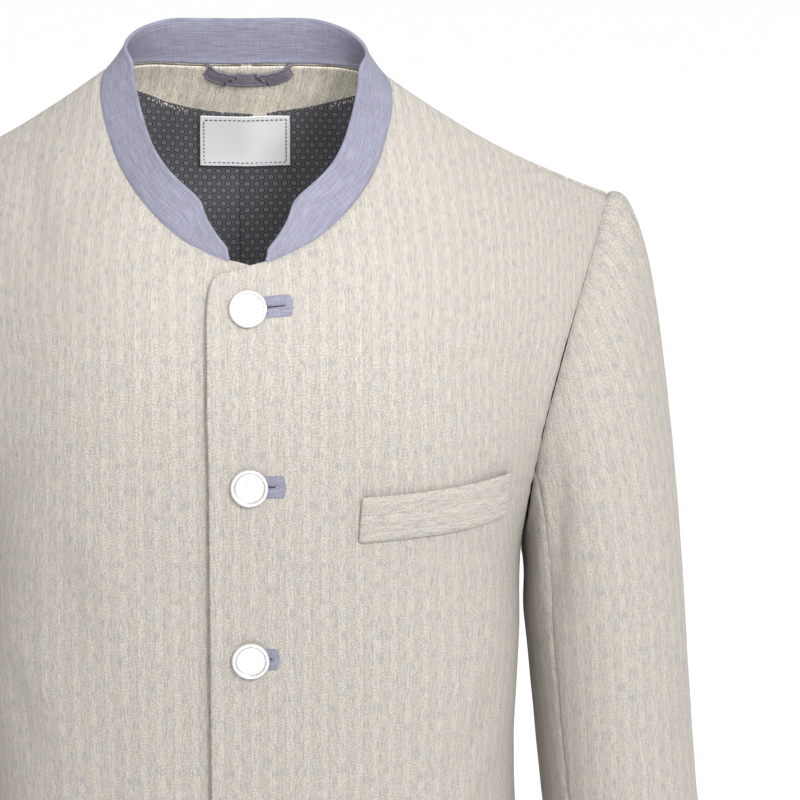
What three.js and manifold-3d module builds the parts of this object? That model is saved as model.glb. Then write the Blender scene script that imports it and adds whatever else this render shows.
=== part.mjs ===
// Trachten jacket, men's size 50, filled out as worn.
// Millimetres, +Z up, the front faces -Y and the wearer's left is +X.
// The origin lies midway between the two points where the shoulder seams meet the neckline.

import * as THREE from 'three';
import Module from 'manifold-3d';
import { mergeVertices } from 'three/addons/utils/BufferGeometryUtils.js';

const wasm = await Module();
wasm.setup();

// Driving dimensions of the cloth
const CLOTH_WALL = 2.0;
const COLLAR_WALL = 2.4;
const SEAM_GAP = 0.3;
const LAYER_GAP = 0.5;
const ARMPIT_Z = -292;
const HEM_Z = -690;

// Closing: the left front laps over the right one
const CENTRE_X = 12;
const LAP_X = -23;
const LAP_LIFT = 1.6;
const UNDERLAP_SINK = 2.6;
const LAP_FADE_X = 62;
const CORNER = { drop: 28, straight: 0.33, sharp: 0.98, over: 0.34 };
const HEM_CORNER = { rise: 26, from: 1.82, over: 0.18 };

// The wearer's right shoulder sits a little higher
const RIGHT_LIFT = { rise: 5.5, fromX: 20, overX: 75, fromZ: -320, overZ: 240 };

// Buttons
const BUTTON_COUNT = 5;
const BUTTON_TOP_Z = -118;
const BUTTON_PITCH = 105;
const BUTTON = { radius: 11.3, rimRadius: 9.3, clear: 1.2, sides: 28 };
const BUTTON_PROFILE = [
  { radius: 0, height: 0 },
  { radius: BUTTON.radius - 0.7, height: 0 },
  { radius: BUTTON.radius, height: 0.6 },
  { radius: BUTTON.radius, height: 1.7 },
  { radius: BUTTON.radius - 0.7, height: 2.4 },
  { radius: BUTTON.rimRadius, height: 2.2 },
  { radius: BUTTON.rimRadius - 0.7, height: 1.6 },
  { radius: BUTTON.rimRadius / 2, height: 2.0 },
  { radius: 0, height: 2.2 },
];
const SHANK = { wide: 3.4, tall: 1.2, short: 0.6, into: 0.8 };

// Bound buttonholes
const LIPS = { left: -5, tall: 12, round: 1.6, wall: 2.2, proud: 0.5 };
const SLIT = { inset: 2.4, tall: 2.0 };
const ROUND_STEPS = 3;
const HOLES = [
  { right: 25.5, tilt: 6 },
  { right: 20.5, tilt: 1 },
  { right: 16.0, tilt: 1 },
  { right: 16.5, tilt: 0 },
  { right: 17.0, tilt: 0 },
];

// Node counts of the panels
const ROWS_TO_ARMPIT = 12;
const ROWS_BELOW = 11;
const PIT_ROW = 6;
const NAPE_ROW = 4;
const PANEL_COLUMNS = 9;
const LAP_COLUMNS = [0, 0.3, 0.6, 0.83, 0.95, 1];
const SLEEVE_FRONT_SEAM = 9;
const SLEEVE_BACK_SEAM = 8;
const CAP_ROWS = 7;
const ARM_ROWS = 9;
const COLLAR_ROWS = 3;
const FACING_GRID = { columns: 16, rows: 3 };
const LINING_GRID = { columns: 7, rows: 8 };
const LABEL_GRID = { columns: 4, rows: 3 };
const LOOP_COLUMNS = 16;
const WELT_GRID = { columns: 8, rows: 2 };

// Neckline seam from the nape (0) over the shoulder point (SHOULDER_AT) to the collar end (1)
const SHOULDER_AT = 0.344;
const NECKLINE = [
  { at: 0.000, x: 0.0, y: 21, z: 6.0, lean: 15, tall: 28, back: 0 },
  { at: 0.170, x: 45.0, y: 19, z: 6.0, lean: 18, tall: 27.5, back: 0 },
  { at: 0.260, x: 68.0, y: 12, z: 5.0, lean: 34, tall: 26, back: 0 },
  { at: 0.344, x: 85.5, y: 0, z: 0.0, lean: 54, tall: 25, back: 0 },
  { at: 0.422, x: 88.5, y: -17, z: -11.6, lean: 54, tall: 25, back: 0 },
  { at: 0.527, x: 84.5, y: -39, z: -28.0, lean: 45, tall: 25, back: 0 },
  { at: 0.655, x: 74.5, y: -62, z: -50.0, lean: 33, tall: 25, back: 0 },
  { at: 0.756, x: 62.0, y: -80, z: -64.5, lean: 26, tall: 25, back: 0 },
  { at: 0.878, x: 40.0, y: -97, z: -81.0, lean: 24, tall: 24, back: 1 },
  { at: 0.950, x: 24.0, y: -105, z: -87.5, lean: 22, tall: 14, back: 4 },
  { at: 1.000, x: 12.0, y: -110, z: -91.5, lean: 20, tall: 6.5, back: 4 },
];

// Armhole seam from the shoulder tip (0) to the armpit (1)
const ARMHOLE_FRONT = [
  { at: 0.00, x: 219, y: -12, z: -70 },
  { at: 0.13, x: 209.5, y: -38, z: -97 },
  { at: 0.30, x: 197, y: -61, z: -132 },
  { at: 0.50, x: 184, y: -72, z: -176 },
  { at: 0.70, x: 174, y: -70, z: -219 },
  { at: 0.87, x: 168.5, y: -50, z: -262 },
  { at: 1.00, x: 167, y: -10, z: ARMPIT_Z },
];
const ARMHOLE_BACK = [
  { at: 0.00, x: 219, y: -12, z: -70 },
  { at: 0.13, x: 212, y: 14, z: -94 },
  { at: 0.30, x: 200, y: 38, z: -132 },
  { at: 0.50, x: 188, y: 52, z: -178 },
  { at: 0.70, x: 178, y: 52, z: -224 },
  { at: 0.87, x: 171, y: 34, z: -268 },
  { at: 1.00, x: 167, y: -10, z: ARMPIT_Z },
];

// Centre lines and side seams by height
const PROFILE = [
  { at: 720, side: 181, seam: 2, front: -136, back: 84 },
  { at: 600, side: 175, seam: 0, front: -139, back: 86 },
  { at: 500, side: 167, seam: -4, front: -137, back: 72 },
  { at: 420, side: 163.5, seam: -8, front: -138, back: 63 },
  { at: 340, side: 165.5, seam: -10, front: -142, back: 76 },
  { at: 292, side: 167, seam: -10, front: -144, back: 86 },
  { at: 220, side: 180, seam: -10, front: -143, back: 94 },
  { at: 160, side: 190, seam: -10, front: -134, back: 92 },
  { at: 91.5, side: 200, seam: -10, front: -110, back: 76 },
  { at: 50, side: 210, seam: -10, front: -100, back: 58 },
  { at: -6, side: 220, seam: -10, front: -90, back: 21 },
].reverse();

// Rows of a front: how each leaves the centre (in) and reaches the armhole or side seam (out).
// turn is towards the back and drop is downwards, in degrees; reach is a share of the chord.
const FRONT_ROWS = [
  { at: 0.00, turnIn: 0, dropIn: 36, reachIn: 0.36, turnOut: 0, dropOut: 20, reachOut: 0.36 },
  { at: 0.17, turnIn: -22, dropIn: 36, reachIn: 0.36, turnOut: 12, dropOut: 20, reachOut: 0.36 },
  { at: 0.33, turnIn: -24, dropIn: 26, reachIn: 0.36, turnOut: 26, dropOut: 14, reachOut: 0.38 },
  { at: 0.50, turnIn: -6, dropIn: 8, reachIn: 0.42, turnOut: 42, dropOut: 8, reachOut: 0.40 },
  { at: 0.75, turnIn: 0, dropIn: 1, reachIn: 0.52, turnOut: 62, dropOut: 3, reachOut: 0.42 },
  { at: 1.00, turnIn: 0, dropIn: 0, reachIn: 0.58, turnOut: 88, dropOut: 0, reachOut: 0.44 },
  { at: 1.40, turnIn: 0, dropIn: 0, reachIn: 0.58, turnOut: 90, dropOut: 0, reachOut: 0.44 },
  { at: 2.00, turnIn: 0, dropIn: 0, reachIn: 0.58, turnOut: 90, dropOut: 0, reachOut: 0.44 },
];

// Rows of a back; turn is towards the front here
const BACK_ROWS = [
  { at: 0.00, turnIn: 0, dropIn: 36, reachIn: 0.36, turnOut: 0, dropOut: 20, reachOut: 0.36 },
  { at: 0.17, turnIn: -36, dropIn: 32, reachIn: 0.34, turnOut: 8, dropOut: 20, reachOut: 0.36 },
  { at: 0.33, turnIn: -36, dropIn: 29, reachIn: 0.32, turnOut: 24, dropOut: 18, reachOut: 0.40 },
  { at: 0.45, turnIn: -14, dropIn: 11, reachIn: 0.40, turnOut: 34, dropOut: 12, reachOut: 0.42 },
  { at: 0.60, turnIn: -3, dropIn: 4, reachIn: 0.48, turnOut: 46, dropOut: 7, reachOut: 0.42 },
  { at: 0.75, turnIn: 0, dropIn: 0, reachIn: 0.52, turnOut: 60, dropOut: 3, reachOut: 0.42 },
  { at: 1.00, turnIn: 0, dropIn: 0, reachIn: 0.58, turnOut: 88, dropOut: 0, reachOut: 0.42 },
  { at: 1.40, turnIn: 0, dropIn: 0, reachIn: 0.60, turnOut: 90, dropOut: 0, reachOut: 0.42 },
  { at: 2.00, turnIn: 0, dropIn: 0, reachIn: 0.60, turnOut: 90, dropOut: 0, reachOut: 0.42 },
];

// Sleeve rings below the armpit, half sizes across and fore and aft
const ARM = [
  { at: 0.00, x: 219, y: -14, z: -330, across: 50.0, deep: 64 },
  { at: 0.30, x: 228, y: -14, z: -436, across: 48.5, deep: 60 },
  { at: 0.45, x: 234, y: -18, z: -490, across: 47.5, deep: 58 },
  { at: 0.75, x: 240, y: -38, z: -600, across: 44.0, deep: 52 },
  { at: 1.00, x: 241, y: -58, z: -692, across: 41.0, deep: 46 },
];

// How the sleeve head leaves the armhole, by the angle round the arm from its outer side
const CAP = [
  { at: 0, outward: 1.00, forward: 0.00, up: 0.14, reach: 26, drop: 170 },
  { at: 45, outward: 0.93, forward: 0.24, up: -0.20, reach: 34, drop: 130 },
  { at: 90, outward: 0.62, forward: 0.42, up: -0.66, reach: 34, drop: 80 },
  { at: 135, outward: 0.40, forward: 0.12, up: -0.90, reach: 22, drop: 34 },
  { at: 180, outward: 0.30, forward: 0.00, up: -0.95, reach: 14, drop: 16 },
];

// Breast welt corners on the left front, x and z
const WELT = { innerX: 66.5, outerX: 154, innerTop: -227.5, outerTop: -224, slant: 2, tall: 26 };
const WELT_WALL = { wall: 1.8, clear: 1.5 };

// Back neck pieces
const FACING = { wall: 1.2, halfWide: 83, below: 2.6, centreTall: 35.5, sideTall: 16 };
const LINING = { wall: 1.0, clear: 1.3, seamX: -5, gap: 1.6, bottomZ: -262 };
const LINING_SIDE = { shoulderX: 205, shoulderZ: -84, from: 0.06, to: 0.84, armGap: 5 };
const LABEL = { left: -28.2, right: 26, top: -27.8, bottom: -62.4, wall: 0.7, stand: 1.7 };
const LOOP = { left: -25.5, right: 28.5, top: 4.4, sag: 5.7, bow: 3.2, width: 7.8, wall: 1.3, stand: 1.0 };

const RAD = Math.PI / 180;
const lerp = (a, b, t) => a + (b - a) * t;
const clamp = (t) => Math.min(1, Math.max(0, t));
const ease = (t) => clamp(t) * clamp(t) * (3 - 2 * clamp(t));
const vec = (x, y, z) => new THREE.Vector3(x, y, z);

// One column of a table, eased smoothly between its rows
function column(table, name, at) {
  let i = 0;
  while (i < table.length - 2 && table[i + 1].at < at) {
    i += 1;
  }
  const p = table[i];
  const q = table[i + 1];
  const slope = (a, b) => (b[name] - a[name]) / (b.at - a.at);
  const along = slope(p, q);
  const before = i > 0 ? (slope(table[i - 1], p) + along) / 2 : along;
  const after = i < table.length - 2 ? (along + slope(q, table[i + 2])) / 2 : along;
  const span = q.at - p.at;
  const t = clamp((at - p.at) / span);
  const t2 = t * t;
  const t3 = t2 * t;
  return (2 * t3 - 3 * t2 + 1) * p[name] + (t3 - 2 * t2 + t) * span * before
    + (3 * t2 - 2 * t3) * q[name] + (t3 - t2) * span * after;
}

function tablePoint(table, at) {
  return vec(column(table, 'x', at), column(table, 'y', at), column(table, 'z', at));
}

function bezier(p0, p1, p2, p3, t) {
  const s = 1 - t;
  return vec(0, 0, 0)
    .addScaledVector(p0, s * s * s)
    .addScaledVector(p1, 3 * s * s * t)
    .addScaledVector(p2, 3 * s * t * t)
    .addScaledVector(p3, t * t * t);
}

// A direction that starts along +X, turns by `turn` and drops by `drop`
function heading(turn, drop, backward) {
  const flat = Math.cos(drop * RAD);
  return vec(flat * Math.cos(turn * RAD), backward * flat * Math.sin(turn * RAD), -Math.sin(drop * RAD));
}

// Height of a row on the centre line, once it has left the neckline
function centreZ(at, startRow, startZ) {
  const start = startRow / ROWS_TO_ARMPIT;
  if (at <= 1) {
    return lerp(startZ, ARMPIT_Z, (at - start) / (1 - start));
  }
  return lerp(ARMPIT_Z, HEM_Z, at - 1);
}

function sideEnd(armhole, at) {
  if (at <= 1) {
    return tablePoint(armhole, at);
  }
  const z = lerp(ARMPIT_Z, HEM_Z, at - 1);
  return vec(column(PROFILE, 'side', -z), column(PROFILE, 'seam', -z), z);
}

function frontStart(at) {
  const pit = PIT_ROW / ROWS_TO_ARMPIT;
  if (at <= pit) {
    return tablePoint(NECKLINE, lerp(SHOULDER_AT, 1, at / pit));
  }
  const z = centreZ(at, PIT_ROW, NECKLINE.at(-1).z);
  return vec(CENTRE_X, column(PROFILE, 'front', -z), z);
}

function backStart(at) {
  const nape = NAPE_ROW / ROWS_TO_ARMPIT;
  if (at <= nape) {
    return tablePoint(NECKLINE, lerp(SHOULDER_AT, 0, at / nape));
  }
  const z = centreZ(at, NAPE_ROW, NECKLINE[0].z);
  return vec(0, column(PROFILE, 'back', -z), z);
}

// A point of a panel: `across` from its centre line (0) to its side (1) on the row `at`
function rowPoint(rows, start, end, backward, across, at) {
  const chord = start.distanceTo(end);
  const leave = heading(column(rows, 'turnIn', at), column(rows, 'dropIn', at), backward);
  const arrive = heading(column(rows, 'turnOut', at), column(rows, 'dropOut', at), backward);
  const p1 = start.clone().addScaledVector(leave, chord * column(rows, 'reachIn', at));
  const p2 = end.clone().addScaledVector(arrive, -chord * column(rows, 'reachOut', at));
  return bezier(start, p1, p2, end, across);
}

function frontPoint(across, at) {
  return rowPoint(FRONT_ROWS, frontStart(at), sideEnd(ARMHOLE_FRONT, at), 1, across, at);
}

function backPoint(across, at) {
  return rowPoint(BACK_ROWS, backStart(at), sideEnd(ARMHOLE_BACK, at), -1, across, at);
}

// The lap beyond the collar end, `across` from the centre (0) to the front edge (1)
function lapPoint(across, at) {
  const start = frontStart(at);
  const x = lerp(CENTRE_X, LAP_X, across);
  const bend = 1 - Math.cbrt(1 - CORNER.sharp * across ** 20);
  const topFade = 1 - ease((at - PIT_ROW / ROWS_TO_ARMPIT) / CORNER.over);
  const hemFade = ease((at - HEM_CORNER.from) / HEM_CORNER.over);
  const fall = CORNER.drop * (CORNER.straight * across + bend) * topFade;
  const z = start.z - fall + HEM_CORNER.rise * bend * hemFade;
  return vec(x, column(PROFILE, 'front', -z), z);
}

// How far the fronts part at the closing: out for the left one, in for the right one
function lapShift(x, upper) {
  const share = 1 - ease((x - CENTRE_X) / (LAP_FADE_X - CENTRE_X));
  return upper ? -LAP_LIFT * share : UNDERLAP_SINK * share;
}

// A sheet is a list of points with four-sided cells; its cells face out of the garment
function gridSheet(columns, rows, pointAt, isOpen = () => true) {
  const points = [];
  const index = new Map();
  const cells = [];
  const pick = (i, j) => {
    const key = `${i}/${j}`;
    if (!index.has(key)) {
      index.set(key, points.length);
      points.push(pointAt(i, j));
    }
    return index.get(key);
  };
  for (let j = 0; j < rows; j += 1) {
    for (let i = 0; i < columns; i += 1) {
      if (isOpen(i, j)) {
        cells.push([pick(i, j), pick(i, j + 1), pick(i + 1, j + 1), pick(i + 1, j)]);
      }
    }
  }
  return { points, cells };
}

// The right half lifted at its shoulder, and nothing else moved
function settled(sheet) {
  for (const p of sheet.points) {
    const sideways = ease((-p.x - RIGHT_LIFT.fromX) / RIGHT_LIFT.overX);
    p.z += RIGHT_LIFT.rise * sideways * ease((p.z - RIGHT_LIFT.fromZ) / RIGHT_LIFT.overZ);
  }
  return sheet;
}

// Cells facing the other way, each still split along the same diagonal
function flipped(cells) {
  return cells.map(([a, b, c, d]) => [a, d, c, b]);
}

function mirrored(sheet) {
  const points = sheet.points.map((p) => vec(-p.x, p.y, p.z));
  return { points, cells: flipped(sheet.cells) };
}

function turned(sheet) {
  return { points: sheet.points, cells: flipped(sheet.cells) };
}

function sheetNormals(sheet) {
  const normals = sheet.points.map(() => vec(0, 0, 0));
  for (const [a, b, c, d] of sheet.cells) {
    const p = sheet.points;
    const across = p[c].clone().sub(p[a]);
    const down = p[d].clone().sub(p[b]);
    const facing = across.cross(down).normalize();
    for (const corner of [a, b, c, d]) {
      normals[corner].add(facing);
    }
  }
  return normals.map((n) => n.normalize());
}

const pointKey = (p) => [p.x, p.y, p.z].map((c) => Math.round(c * 20 + 0.137)).join(' ');

// Panels that meet at a seam share the direction of their wall there
function sewNormals(sheets) {
  const shared = new Map();
  for (const sheet of sheets) {
    sheet.normals = sheetNormals(sheet);
    sheet.points.forEach((p, i) => {
      const key = pointKey(p);
      const sum = shared.get(key) ?? vec(0, 0, 0);
      shared.set(key, sum.add(sheet.normals[i]));
    });
  }
  for (const sheet of sheets) {
    sheet.normals = sheet.points.map((p) => shared.get(pointKey(p)).clone().normalize());
  }
}

function borderEdges(sheet) {
  const seen = new Map();
  for (const cell of sheet.cells) {
    cell.forEach((from, k) => {
      const to = cell[(k + 1) % cell.length];
      const twin = `${to} ${from}`;
      if (seen.has(twin)) {
        seen.delete(twin);
      } else {
        seen.set(`${from} ${to}`, [from, to]);
      }
    });
  }
  return [...seen.values()];
}

// Border points drawn back by half the seam gap, so that neighbours stay apart
function drawnBack(sheet, border, amount) {
  const onBorder = new Set(border.flat());
  const inward = new Map([...onBorder].map((i) => [i, vec(0, 0, 0)]));
  for (const cell of sheet.cells) {
    const middle = vec(0, 0, 0);
    cell.forEach((i) => middle.addScaledVector(sheet.points[i], 1 / cell.length));
    for (const i of cell) {
      if (onBorder.has(i)) {
        inward.get(i).add(middle.clone().sub(sheet.points[i]).normalize());
      }
    }
  }
  const direction = new Map();
  for (const [from, to] of border) {
    const along = sheet.points[to].clone().sub(sheet.points[from]).normalize();
    for (const i of [from, to]) {
      const side = inward.get(i).clone().addScaledVector(along, -inward.get(i).dot(along)).normalize();
      const list = direction.get(i) ?? [];
      list.push(side);
      direction.set(i, list);
    }
  }
  return sheet.points.map((p, i) => {
    if (!direction.has(i)) {
      return p.clone();
    }
    const [first, second] = direction.get(i);
    const bend = 1 + first.dot(second ?? first);
    const pull = first.clone().add(second ?? first).divideScalar(Math.max(bend, 0.7));
    return p.clone().addScaledVector(pull, amount);
  });
}

// A closed wall: the sheet moved out by `out`, and its lining face `wall` further in
function wallGeometry(sheet, wall, out = 0, gap = SEAM_GAP / 2) {
  const normals = sheet.normals ?? sheetNormals(sheet);
  const border = borderEdges(sheet);
  const points = drawnBack(sheet, border, gap);
  const outer = points.map((p, i) => p.clone().addScaledVector(normals[i], out));
  const inner = points.map((p, i) => p.clone().addScaledVector(normals[i], out - wall));
  const faces = [];
  const count = points.length;
  for (const [a, b, c, d] of sheet.cells) {
    faces.push([a, b, c], [a, c, d]);
    faces.push([a + count, c + count, b + count], [a + count, d + count, c + count]);
  }
  for (const [from, to] of border) {
    if (pointKey(sheet.points[from]) < pointKey(sheet.points[to])) {
      faces.push([from, from + count, to + count], [from, to + count, to]);
    } else {
      faces.push([from, from + count, to], [from + count, to + count, to]);
    }
  }
  const geometry = new THREE.BufferGeometry();
  const flat = [...outer, ...inner].flatMap((p) => [p.x, p.y, p.z]);
  geometry.setAttribute('position', new THREE.Float32BufferAttribute(flat, 3));
  geometry.setIndex(faces.flat());
  return geometry;
}

function rowAt(j) {
  return j <= ROWS_TO_ARMPIT ? j / ROWS_TO_ARMPIT : 1 + (j - ROWS_TO_ARMPIT) / ROWS_BELOW;
}

// The same panel as the flat triangles of its cells give it
function faceted(panelPoint) {
  return (across, at) => {
    const column = clamp(across) * PANEL_COLUMNS;
    const row = at <= 1 ? at * ROWS_TO_ARMPIT : ROWS_TO_ARMPIT + (at - 1) * ROWS_BELOW;
    const i = Math.min(PANEL_COLUMNS - 1, Math.floor(column));
    const j = Math.min(ROWS_TO_ARMPIT + ROWS_BELOW - 1, Math.floor(row));
    const corner = (di, dj) => panelPoint((i + di) / PANEL_COLUMNS, rowAt(j + dj));
    const s = column - i;
    const t = row - j;
    const start = corner(0, 0);
    const end = corner(1, 1);
    if (s < t) {
      const low = corner(0, 1);
      return start.multiplyScalar(1 - t).addScaledVector(low, t - s).addScaledVector(end, s);
    }
    const side = corner(1, 0);
    return start.multiplyScalar(1 - s).addScaledVector(side, s - t).addScaledVector(end, t);
  };
}

// Where a panel passes through a given x and z, found by stepping across it
function findOnPanel(panelPoint, x, z, guess) {
  const step = 0.001;
  let { across, at } = guess;
  for (let round = 0; round < 30; round += 1) {
    const p = panelPoint(across, at);
    const alongAcross = panelPoint(across + step, at).sub(p).divideScalar(step);
    const alongAt = panelPoint(across, at + step).sub(p).divideScalar(step);
    const area = alongAcross.x * alongAt.z - alongAt.x * alongAcross.z;
    const dx = x - p.x;
    const dz = z - p.z;
    across += (dx * alongAt.z - dz * alongAt.x) / area;
    at += (dz * alongAcross.x - dx * alongAcross.z) / area;
    across = Math.min(0.998, Math.max(0, across));
    at = Math.min(1.99, Math.max(0.001, at));
  }
  return { across, at };
}

// A point on the flat cells of a panel and the direction there that faces the front
function panelSpot(panelPoint, x, z, guess) {
  const flat = faceted(panelPoint);
  const { across, at } = findOnPanel(flat, x, z, findOnPanel(panelPoint, x, z, guess));
  const step = 0.002;
  const point = panelPoint(across, at);
  const alongAcross = panelPoint(across + step, at).sub(point);
  const alongAt = panelPoint(across, at + step).sub(point);
  return { point: flat(across, at), normal: alongAt.cross(alongAcross).normalize() };
}

// Panels of the left half; the right half is their mirror image
function frontSheet(upper) {
  const lapColumns = LAP_COLUMNS.length - 1;
  const columns = lapColumns + PANEL_COLUMNS;
  const rows = ROWS_TO_ARMPIT + ROWS_BELOW;
  const pointAt = (i, j) => {
    const at = rowAt(j);
    const inLap = i < lapColumns;
    const beside = (i - lapColumns) / PANEL_COLUMNS;
    const p = inLap ? lapPoint(LAP_COLUMNS[lapColumns - i], at) : frontPoint(beside, at);
    p.y += lapShift(p.x, upper);
    return p;
  };
  return gridSheet(columns, rows, pointAt, (i, j) => i >= lapColumns || j >= PIT_ROW);
}

function backSheet() {
  const rows = ROWS_TO_ARMPIT + ROWS_BELOW;
  const pointAt = (i, j) => {
    return backPoint(i / PANEL_COLUMNS, rowAt(j));
  };
  return turned(gridSheet(PANEL_COLUMNS, rows, pointAt));
}

// Point of the sleeve at `round` steps from its outer line, forward negative, on ring `row`
function sleevePoint(round, row) {
  const share = round / ROWS_TO_ARMPIT;
  const angle = 180 * share;
  const seam = tablePoint(round < 0 ? ARMHOLE_FRONT : ARMHOLE_BACK, Math.abs(share));
  const ringAt = row <= CAP_ROWS ? 0 : (row - CAP_ROWS) / ARM_ROWS;
  const step = 0.02;
  const centre = tablePoint(ARM, ringAt);
  const below = tablePoint(ARM, Math.min(1, ringAt + step));
  const above = tablePoint(ARM, Math.max(0, ringAt - step));
  const axis = below.sub(above).normalize();
  const sideways = vec(1, 0, 0).addScaledVector(axis, -axis.x).normalize();
  const rearward = axis.clone().cross(sideways).multiplyScalar(-1);
  const ring = centre
    .addScaledVector(sideways, Math.cos(angle * RAD) * column(ARM, 'across', ringAt))
    .addScaledVector(rearward, Math.sin(angle * RAD) * column(ARM, 'deep', ringAt));
  if (row >= CAP_ROWS) {
    return ring;
  }
  const turn = Math.abs(angle);
  const fore = Math.sign(round) * column(CAP, 'forward', turn);
  const leave = vec(column(CAP, 'outward', turn), fore, column(CAP, 'up', turn));
  const p1 = seam.clone().addScaledVector(leave, column(CAP, 'reach', turn));
  const p2 = ring.clone().addScaledVector(axis, -column(CAP, 'drop', turn));
  return bezier(seam, p1, p2, ring, row / CAP_ROWS);
}

function sleeveSheet(first, last) {
  const rows = CAP_ROWS + ARM_ROWS;
  return gridSheet(last - first, rows, (i, j) => {
    const round = first + i;
    return sleevePoint(round > ROWS_TO_ARMPIT ? round - 2 * ROWS_TO_ARMPIT : round, j);
  });
}

// Top edge of the collar above a point of the neckline
function collarTop(at) {
  const step = 0.01;
  const seam = tablePoint(NECKLINE, at);
  const ahead = tablePoint(NECKLINE, Math.min(1, at + step));
  const behind = tablePoint(NECKLINE, Math.max(0, at - step));
  const along = ahead.sub(behind).normalize();
  const rise = vec(0, 0, 1).addScaledVector(along, -along.z).normalize();
  const inward = along.clone().cross(rise);
  const lean = column(NECKLINE, 'lean', at) * RAD;
  const tall = column(NECKLINE, 'tall', at);
  return seam
    .addScaledVector(along, -column(NECKLINE, 'back', at))
    .addScaledVector(rise, tall * Math.cos(lean))
    .addScaledVector(inward, tall * Math.sin(lean));
}

// Places along the neckline of the panel points, from the nape to the collar end
function necklineStops() {
  const stops = [];
  for (let i = NAPE_ROW; i > 0; i -= 1) {
    stops.push(lerp(SHOULDER_AT, 0, i / NAPE_ROW));
  }
  for (let i = 0; i <= PIT_ROW; i += 1) {
    stops.push(lerp(SHOULDER_AT, 1, i / PIT_ROW));
  }
  return stops;
}

function collarSheet() {
  const half = necklineStops();
  const stops = [...half.slice(1).reverse().map((at) => -at), ...half];
  return turned(gridSheet(stops.length - 1, COLLAR_ROWS, (i, j) => {
    const at = Math.abs(stops[i]);
    const side = stops[i] < 0 ? -1 : 1;
    const shift = at > SHOULDER_AT ? lapShift(tablePoint(NECKLINE, at).x, side > 0) : 0;
    const low = tablePoint(NECKLINE, at);
    const p = low.lerp(collarTop(at), 1 - j / COLLAR_ROWS);
    return vec(side * p.x, p.y + shift, p.z);
  }));
}

// Pieces that lie inside the back neck, made from the points of the back panels
function insideSheet(columns, rows, spotAt) {
  const normals = [];
  const sheet = gridSheet(columns, rows, (i, j) => {
    const [x, z] = spotAt(i / columns, j / rows);
    const side = x < 0 ? -1 : 1;
    const { point, normal } = panelSpot(backPoint, Math.abs(x), z, { across: 0.2, at: 0.45 });
    normals.push(vec(side * normal.x, normal.y, normal.z));
    return vec(side * point.x, point.y, point.z);
  });
  return settled({ ...sheet, normals });
}

function neckSeamZ(x) {
  return column(NECKLINE, 'z', SHOULDER_AT * clamp(Math.abs(x) / FACING.halfWide)) - FACING.below;
}

function facingEdgeZ(x) {
  const share = clamp(Math.abs(x) / FACING.halfWide);
  return NECKLINE[0].z - lerp(FACING.centreTall, FACING.sideTall, share * share);
}

function facingSheet() {
  return insideSheet(FACING_GRID.columns, FACING_GRID.rows, (across, down) => {
    const x = lerp(-FACING.halfWide, FACING.halfWide, across);
    return [x, lerp(neckSeamZ(x), facingEdgeZ(x), down)];
  });
}

function liningTopZ(x) {
  const past = clamp((Math.abs(x) - FACING.halfWide) / (LINING_SIDE.shoulderX - FACING.halfWide));
  return lerp(facingEdgeZ(x) - LINING.gap, LINING_SIDE.shoulderZ, past);
}

function liningSheet(side) {
  return insideSheet(LINING_GRID.columns, LINING_GRID.rows, (across, down) => {
    const share = side > 0 ? across : 1 - across;
    const edge = tablePoint(ARMHOLE_BACK, lerp(LINING_SIDE.from, LINING_SIDE.to, down));
    const x = lerp(LINING.seamX + side * SEAM_GAP / 2, side * (edge.x - LINING_SIDE.armGap), share);
    return [x, lerp(liningTopZ(x), LINING.bottomZ, down)];
  });
}

function labelSheet() {
  return insideSheet(LABEL_GRID.columns, LABEL_GRID.rows, (across, down) => [
    lerp(LABEL.left, LABEL.right, across),
    lerp(LABEL.top, LABEL.bottom, down),
  ]);
}

function loopSheet() {
  return insideSheet(LOOP_COLUMNS, 1, (along, width) => {
    const swing = 2 * along - 1;
    const x = lerp(LOOP.left, LOOP.right, along);
    const z = LOOP.top - LOOP.sag * (1 - Math.abs(swing) ** LOOP.bow);
    const halfWide = (LOOP.right - LOOP.left) / 2;
    const slope = (LOOP.sag * LOOP.bow * Math.sign(swing) * Math.abs(swing) ** (LOOP.bow - 1)) / halfWide;
    const size = Math.hypot(1, slope);
    const offset = (0.5 - width) * LOOP.width;
    return [x - (slope / size) * offset, z + offset / size];
  });
}

// The breast welt, made from the points of the left front
function weltSheet() {
  const normals = [];
  const sheet = gridSheet(WELT_GRID.columns, WELT_GRID.rows, (i, j) => {
    const across = i / WELT_GRID.columns;
    const down = j / WELT_GRID.rows;
    const x = lerp(WELT.innerX, WELT.outerX, across) - WELT.slant * down;
    const z = lerp(WELT.innerTop, WELT.outerTop, across) - WELT.tall * down;
    const { point, normal } = panelSpot(frontPoint, x, z, { across: 0.5, at: 0.8 });
    normals.push(normal);
    return point;
  });
  return { ...sheet, normals };
}

// Places on the closing: x across, y up and z out of the left front at height z
function closingFrame(z) {
  const step = 5;
  const slope = (column(PROFILE, 'front', -z - step) - column(PROFILE, 'front', -z + step)) / (2 * step);
  const up = vec(0, slope, 1).normalize();
  const right = vec(1, 0, 0);
  const out = right.clone().cross(up);
  const frame = new THREE.Matrix4().makeBasis(right, up, out);
  return frame.setPosition(0, column(PROFILE, 'front', -z) - LAP_LIFT, z);
}

// Heights of the buttons, evenly spaced along the closing's curve
function buttonHeights() {
  const heights = [BUTTON_TOP_Z];
  const step = 0.5;
  let z = BUTTON_TOP_Z;
  let run = 0;
  while (heights.length < BUTTON_COUNT) {
    run += Math.hypot(step, column(PROFILE, 'front', -z + step) - column(PROFILE, 'front', -z));
    z -= step;
    if (run >= BUTTON_PITCH) {
      heights.push(z);
      run = 0;
    }
  }
  return heights;
}

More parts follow.
